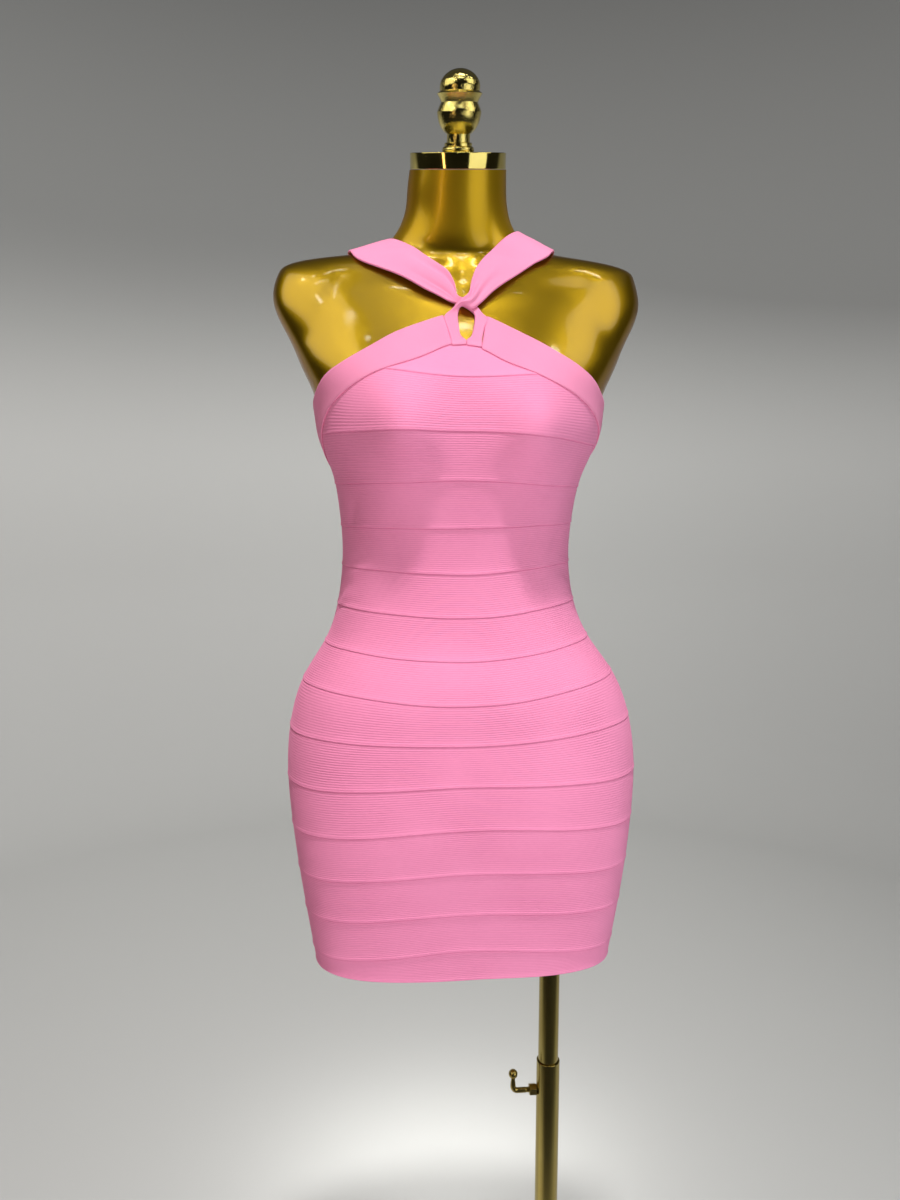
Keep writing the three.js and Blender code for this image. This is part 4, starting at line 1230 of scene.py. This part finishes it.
def clamp_screw():
    """The clamp's bent screw: a threaded end, a rounded bend and a ball."""
    middle, low, high = node_size("clamp_screw")
    radius, bend, ball = SCREW["radius"], SCREW["bend"], SCREW["ball"]
    shank = radius - 0.05
    bend_x = low[0] + ball
    level = low[2] + radius
    start = high[0]
    rings = []
    for x in np.linspace(start, start - SCREW["thread"], 45):
        thread = SCREW["thread_depth"] * math.sin(2 * math.pi * (start - x) / SCREW["pitch"])
        taper = min(1.0, 0.75 + (start - x) / 2)
        rings.append((x, 0, 0, (radius - 0.2 + thread) * taper))
    for x in np.linspace(start - SCREW["thread"] - 0.6, bend_x + bend, 8):
        rings.append((x, 0, 0, shank))
    for turn in np.radians(np.linspace(0, 90, 14)[1:]):
        rings.append((bend_x + bend * (1 - math.sin(turn)), bend * (1 - math.cos(turn)), turn, shank))
    ball_middle = high[2] - level - ball
    neck = math.asin(0.62 * radius / ball)
    for z in np.linspace(bend + 1, ball_middle - ball * math.cos(neck) - 0.4, 6):
        rings.append((bend_x, z, math.pi / 2, shank - 0.9 * ease(bend + 1, ball_middle - ball, z)))
    for turn in np.linspace(neck, math.pi - 0.08, 18):
        rings.append((bend_x, ball_middle - ball * math.cos(turn), math.pi / 2, ball * math.sin(turn)))
    around = np.linspace(0, 2 * math.pi, 36, endpoint=False)
    x, z, turn, r = (np.array(column)[:, None] for column in zip(*rings))
    across = r * np.cos(around)
    loops = np.stack(
        [x + across * np.sin(turn), middle[1] + r * np.sin(around), level + z + across * np.cos(turn)],
        axis=-1,
    )
    piece = mesh_object("clamp_screw", loops.reshape(-1, 3), closed_loops(loops), pole_material(), sharp=60)
    return settle(piece, "clamp", "clamp_screw")


# The stage


def sweep():
    """A pale round floor that curves up into a wall all round, with shade painted on it."""
    settings = bpy.context.scene.dress_stage
    radius, fillet, top = settings.radius / MM, WALL["fillet"], WALL["top"]
    curve = np.radians(np.linspace(0, 90, 16))
    line = [(0, -4), (radius + 40, -4), (radius + 40, top), (radius, top)]
    line += [(radius - fillet * (1 - math.cos(a)), fillet * (1 - math.sin(a))) for a in curve]
    line += [(radius - fillet, 0), (0, 0)]
    points, faces = turned(line, 96)
    finish = Finish("studio sweep", {"Roughness": 0.85, "Specular IOR Level": 0.2})
    place = finish.place()
    sockets = {0: place, 1: WALL["pale_middle"]}
    away = finish.node("ShaderNodeVectorMath", {"operation": "DISTANCE"}, sockets, "Value")
    # Painted shade: the wall turns near black away from its part behind the form
    painted_dark_surround = finish.ramp(away, *WALL["pale_reach"])
    x, z = (finish.part(place, axis) for axis in "XZ")
    # Painted shade: darker up the wall, a little darker near the floor, and darker towards the right
    shade = finish.ramp(z, 1.25, 2.35) + finish.ramp(z, 1.0, 0.1) * 0.2 + finish.ramp(x, 0.2, 2.8) * 0.4
    pale = finish.blend(shade, rgba(settings.floor_colour), rgba(settings.floor_colour, 0.42))
    finish.feed("Base Color", finish.blend(painted_dark_surround, pale, rgba(settings.floor_colour, 0.03)))
    mesh_object("studio_sweep", points, faces, finish.material)


def light(name, at, towards, width, height, watts, colour, serves):
    """A soft rectangular light out of the camera's sight, for the matte surfaces or for the gloss."""
    lamp = bpy.data.lights.new(name, "AREA")
    lamp.shape = "RECTANGLE"
    lamp.size, lamp.size_y = width, height
    lamp.energy = watts
    lamp.color = LIGHT_COLOURS[colour]
    made = bpy.data.objects.new(name, lamp)
    made.location = at
    made.rotation_euler = (Vector(towards) - Vector(at)).to_track_quat("-Z", "Y").to_euler()
    made.visible_camera = False
    made.visible_glossy = serves == "gloss"
    made.visible_diffuse = serves == "matte"
    bpy.context.scene.collection.objects.link(made)


def camera():
    """The camera at the photograph's place."""
    data = bpy.data.cameras.new("camera")
    data.sensor_width = SENSOR
    data.lens = FOCAL_PIXELS / PICTURE_HEIGHT * SENSOR
    made = bpy.data.objects.new("camera", data)
    made.location = Vector(CAMERA_AT) * MM
    made.rotation_euler = Euler((math.radians(90 - CAMERA_DOWN), 0, -math.radians(CAMERA_TURN)))
    bpy.context.scene.collection.objects.link(made)
    bpy.context.scene.camera = made


def length_prop(name, text, default):
    return bpy.props.FloatProperty(
        name=name, description=text, default=default, min=0, unit="LENGTH", subtype="DISTANCE"
    )


def power_prop(name, text, default):
    return bpy.props.FloatProperty(name=name, description=text, default=default, min=0, subtype="POWER")


def colour_prop(name, text, default):
    return bpy.props.FloatVectorProperty(
        name=name, description=text, default=default, min=0, max=1, size=3, subtype="COLOR"
    )


class DressSizes(bpy.types.PropertyGroup):
    """Sizes of the knit and its seams"""

    knit_thickness: length_prop("Knit thickness", "Thickness of the knit panels", 0.0016)
    clearance: length_prop("Clearance", "From the form to the inside of the cloth", 0.0008)
    chest_clearance: length_prop("Chest clearance", "The same over the chest", 0.0015)
    ridge_height: length_prop("Ridge height", "How far a band's lower edge stands out", 0.0006)
    rib_depth: length_prop("Rib depth", "Depth of the fine ribs of the knit", 0.00024)
    panel_columns: bpy.props.IntProperty(
        name="Panel columns", description="Faces across a knit panel", default=136, min=40, max=200
    )


class DressColours(bpy.types.PropertyGroup):
    """Colours of the cloth, the form and the metal"""

    knit: colour_prop("Knit", "The ribbed bandage knit", (0.93, 0.30, 0.51))
    # Painted shade: this deeper tone is laid between the knit's ribs and under its seams, and it also gives
    # the knit and the band their uneven tone
    knit_deep_and_shade: colour_prop("Knit, deep", "The knit between its ribs and under its seams", (0.55, 0.09, 0.22))
    band: colour_prop("Band", "The smooth neckline band and straps", (0.90, 0.30, 0.49))
    gold: colour_prop("Gold", "The lacquered form", (0.54, 0.34, 0.012))
    gold_deep: colour_prop("Gold, deep", "The darker tone of gold and brass", (0.32, 0.19, 0.01))
    brass: colour_prop("Brass", "The cap and the knob", (0.82, 0.69, 0.22))
    pole: colour_prop("Pole", "The plated stand", (0.46, 0.38, 0.13))


class DressStage(bpy.types.PropertyGroup):
    """The floor and the lights"""

    radius: length_prop("Radius", "From the stand to the round wall", 3.2)
    floor_colour: colour_prop("Floor", "The pale floor and wall", (0.62, 0.62, 0.61))
    key_watts: power_prop("Key light", "Power of the light overhead", 126)
    fill_watts: power_prop("Fill light", "Power of each light in front", 10)
    wall_watts: power_prop("Wall light", "Power of the light on the wall behind", 24)


class KnitPanels(bpy.types.Operator):
    """Makes the front and back panels of ribbed bandage knit"""

    bl_idname = "dress.knit_panels"
    bl_label = "Knit panels"

    def execute(self, context):
        for name, middle, flat, area in (
            ("front_panel", 0, (0.44, 0.60), 0.215),
            ("back_panel", 180, (0.44, 0.50), 0.17),
        ):
            panel = knit_panel(name, middle)
        return {"FINISHED"}


class NecklineBands(bpy.types.Operator):
    """Makes the two halves of the neckline band"""

    bl_idname = "dress.neckline_bands"
    bl_label = "Neckline bands"

    def execute(self, context):
        for name, side in (("left_neckline_band", -1), ("right_neckline_band", 1)):
            band = neckline_band(name, side)
        return {"FINISHED"}


class HalterStraps(bpy.types.Operator):
    """Makes the two straps that cross over the keyhole"""

    bl_idname = "dress.halter_straps"
    bl_label = "Halter straps"

    def execute(self, context):
        for name, table, folds in (
            ("right_halter_strap", FRONT_STRAP, FRONT_FOLDS),
            ("left_halter_strap", REAR_STRAP, REAR_FOLDS),
        ):
            strap = halter_strap(name, table, folds)
        return {"FINISHED"}


class FormTorso(bpy.types.Operator):
    """Makes the gold dress form"""

    bl_idname = "dress.form_torso"
    bl_label = "Form"

    def execute(self, context):
        form_torso()
        return {"FINISHED"}


class NeckCapAndFinial(bpy.types.Operator):
    """Makes the brass cap on the neck and the turned knob on it"""

    bl_idname = "dress.neck_cap_and_finial"
    bl_label = "Cap and knob"

    def execute(self, context):
        neck_cap()
        finial()
        return {"FINISHED"}


class Stand(bpy.types.Operator):
    """Makes the plate under the form, both tubes, the socket and the base"""

    bl_idname = "dress.stand"
    bl_label = "Stand"

    def execute(self, context):
        form_plate()
        tube("upper_tube", "form", TUBE_BORES["upper_tube"], 0.5)
        tube("lower_tube", "stand", TUBE_BORES["lower_tube"], 0.6)
        pole_socket()
        base_disc()
        return {"FINISHED"}


class Clamp(bpy.types.Operator):
    """Makes the clamp's boss and its bent screw"""

    bl_idname = "dress.clamp"
    bl_label = "Clamp"

    def execute(self, context):
        clamp_boss()
        clamp_screw()
        return {"FINISHED"}


class Stage(bpy.types.Operator):
    """Makes the floor, the lights and the camera"""

    bl_idname = "dress.stage"
    bl_label = "Stage"

    def execute(self, context):
        settings = context.scene.dress_stage
        sweep()
        watts = {"key": settings.key_watts, "fill": settings.fill_watts, "wall": settings.wall_watts}
        for name, at, towards, width, height, share, source, colour, serves in LIGHTS:
            light(name, at, towards, width, height, share * watts[source], colour, serves)
        for i, (x, y, width, depth) in enumerate(zip(*CEILING_LAMPS.values())):
            power = LAMP_POWER * watts["fill"] * width * depth
            at = (x, y, LAMP_HEIGHT)
            light("ceiling lamp %d" % (i + 1), at, (x, y, 0), width, depth, power, "white", "gloss")
        world = bpy.data.worlds.new("studio")
        world.use_nodes = True
        for label, value in WORLD.items():
            world.node_tree.nodes["Background"].inputs[label].default_value = value
        context.scene.world = world
        context.scene.view_settings.view_transform = "Standard"
        camera()
        return {"FINISHED"}


PROPERTY_GROUPS = {"dress_sizes": DressSizes, "dress_colours": DressColours, "dress_stage": DressStage}
OPERATORS = (KnitPanels, NecklineBands, HalterStraps, FormTorso, NeckCapAndFinial, Stand, Clamp, Stage)


class DressPanel(bpy.types.Panel):
    """Lists the steps and what they use"""

    bl_idname = "DRESS_PT_steps"
    bl_label = "Bandage dress"
    bl_space_type = "VIEW_3D"
    bl_region_type = "UI"
    bl_category = "Dress"

    def draw(self, context):
        for name, group in PROPERTY_GROUPS.items():
            box = self.layout.box()
            for key in group.__annotations__:
                box.prop(getattr(context.scene, name), key)
        for operator in OPERATORS:
            self.layout.operator(operator.bl_idname)


def register():
    for made in (*PROPERTY_GROUPS.values(), *OPERATORS, DressPanel):
        bpy.utils.register_class(made)
    for name, group in PROPERTY_GROUPS.items():
        setattr(bpy.types.Scene, name, bpy.props.PointerProperty(type=group))


def unregister():
    for name in PROPERTY_GROUPS:
        delattr(bpy.types.Scene, name)
    for made in reversed((*PROPERTY_GROUPS.values(), *OPERATORS, DressPanel)):
        bpy.utils.unregister_class(made)


def main():
    register()
    bpy.ops.dress.form_torso()
    bpy.ops.dress.knit_panels()
    bpy.ops.dress.neckline_bands()
    bpy.ops.dress.halter_straps()
    bpy.ops.dress.neck_cap_and_finial()
    bpy.ops.dress.stand()
    bpy.ops.dress.clamp()
    bpy.ops.dress.stage()


if __name__ == "__main__":
    main()
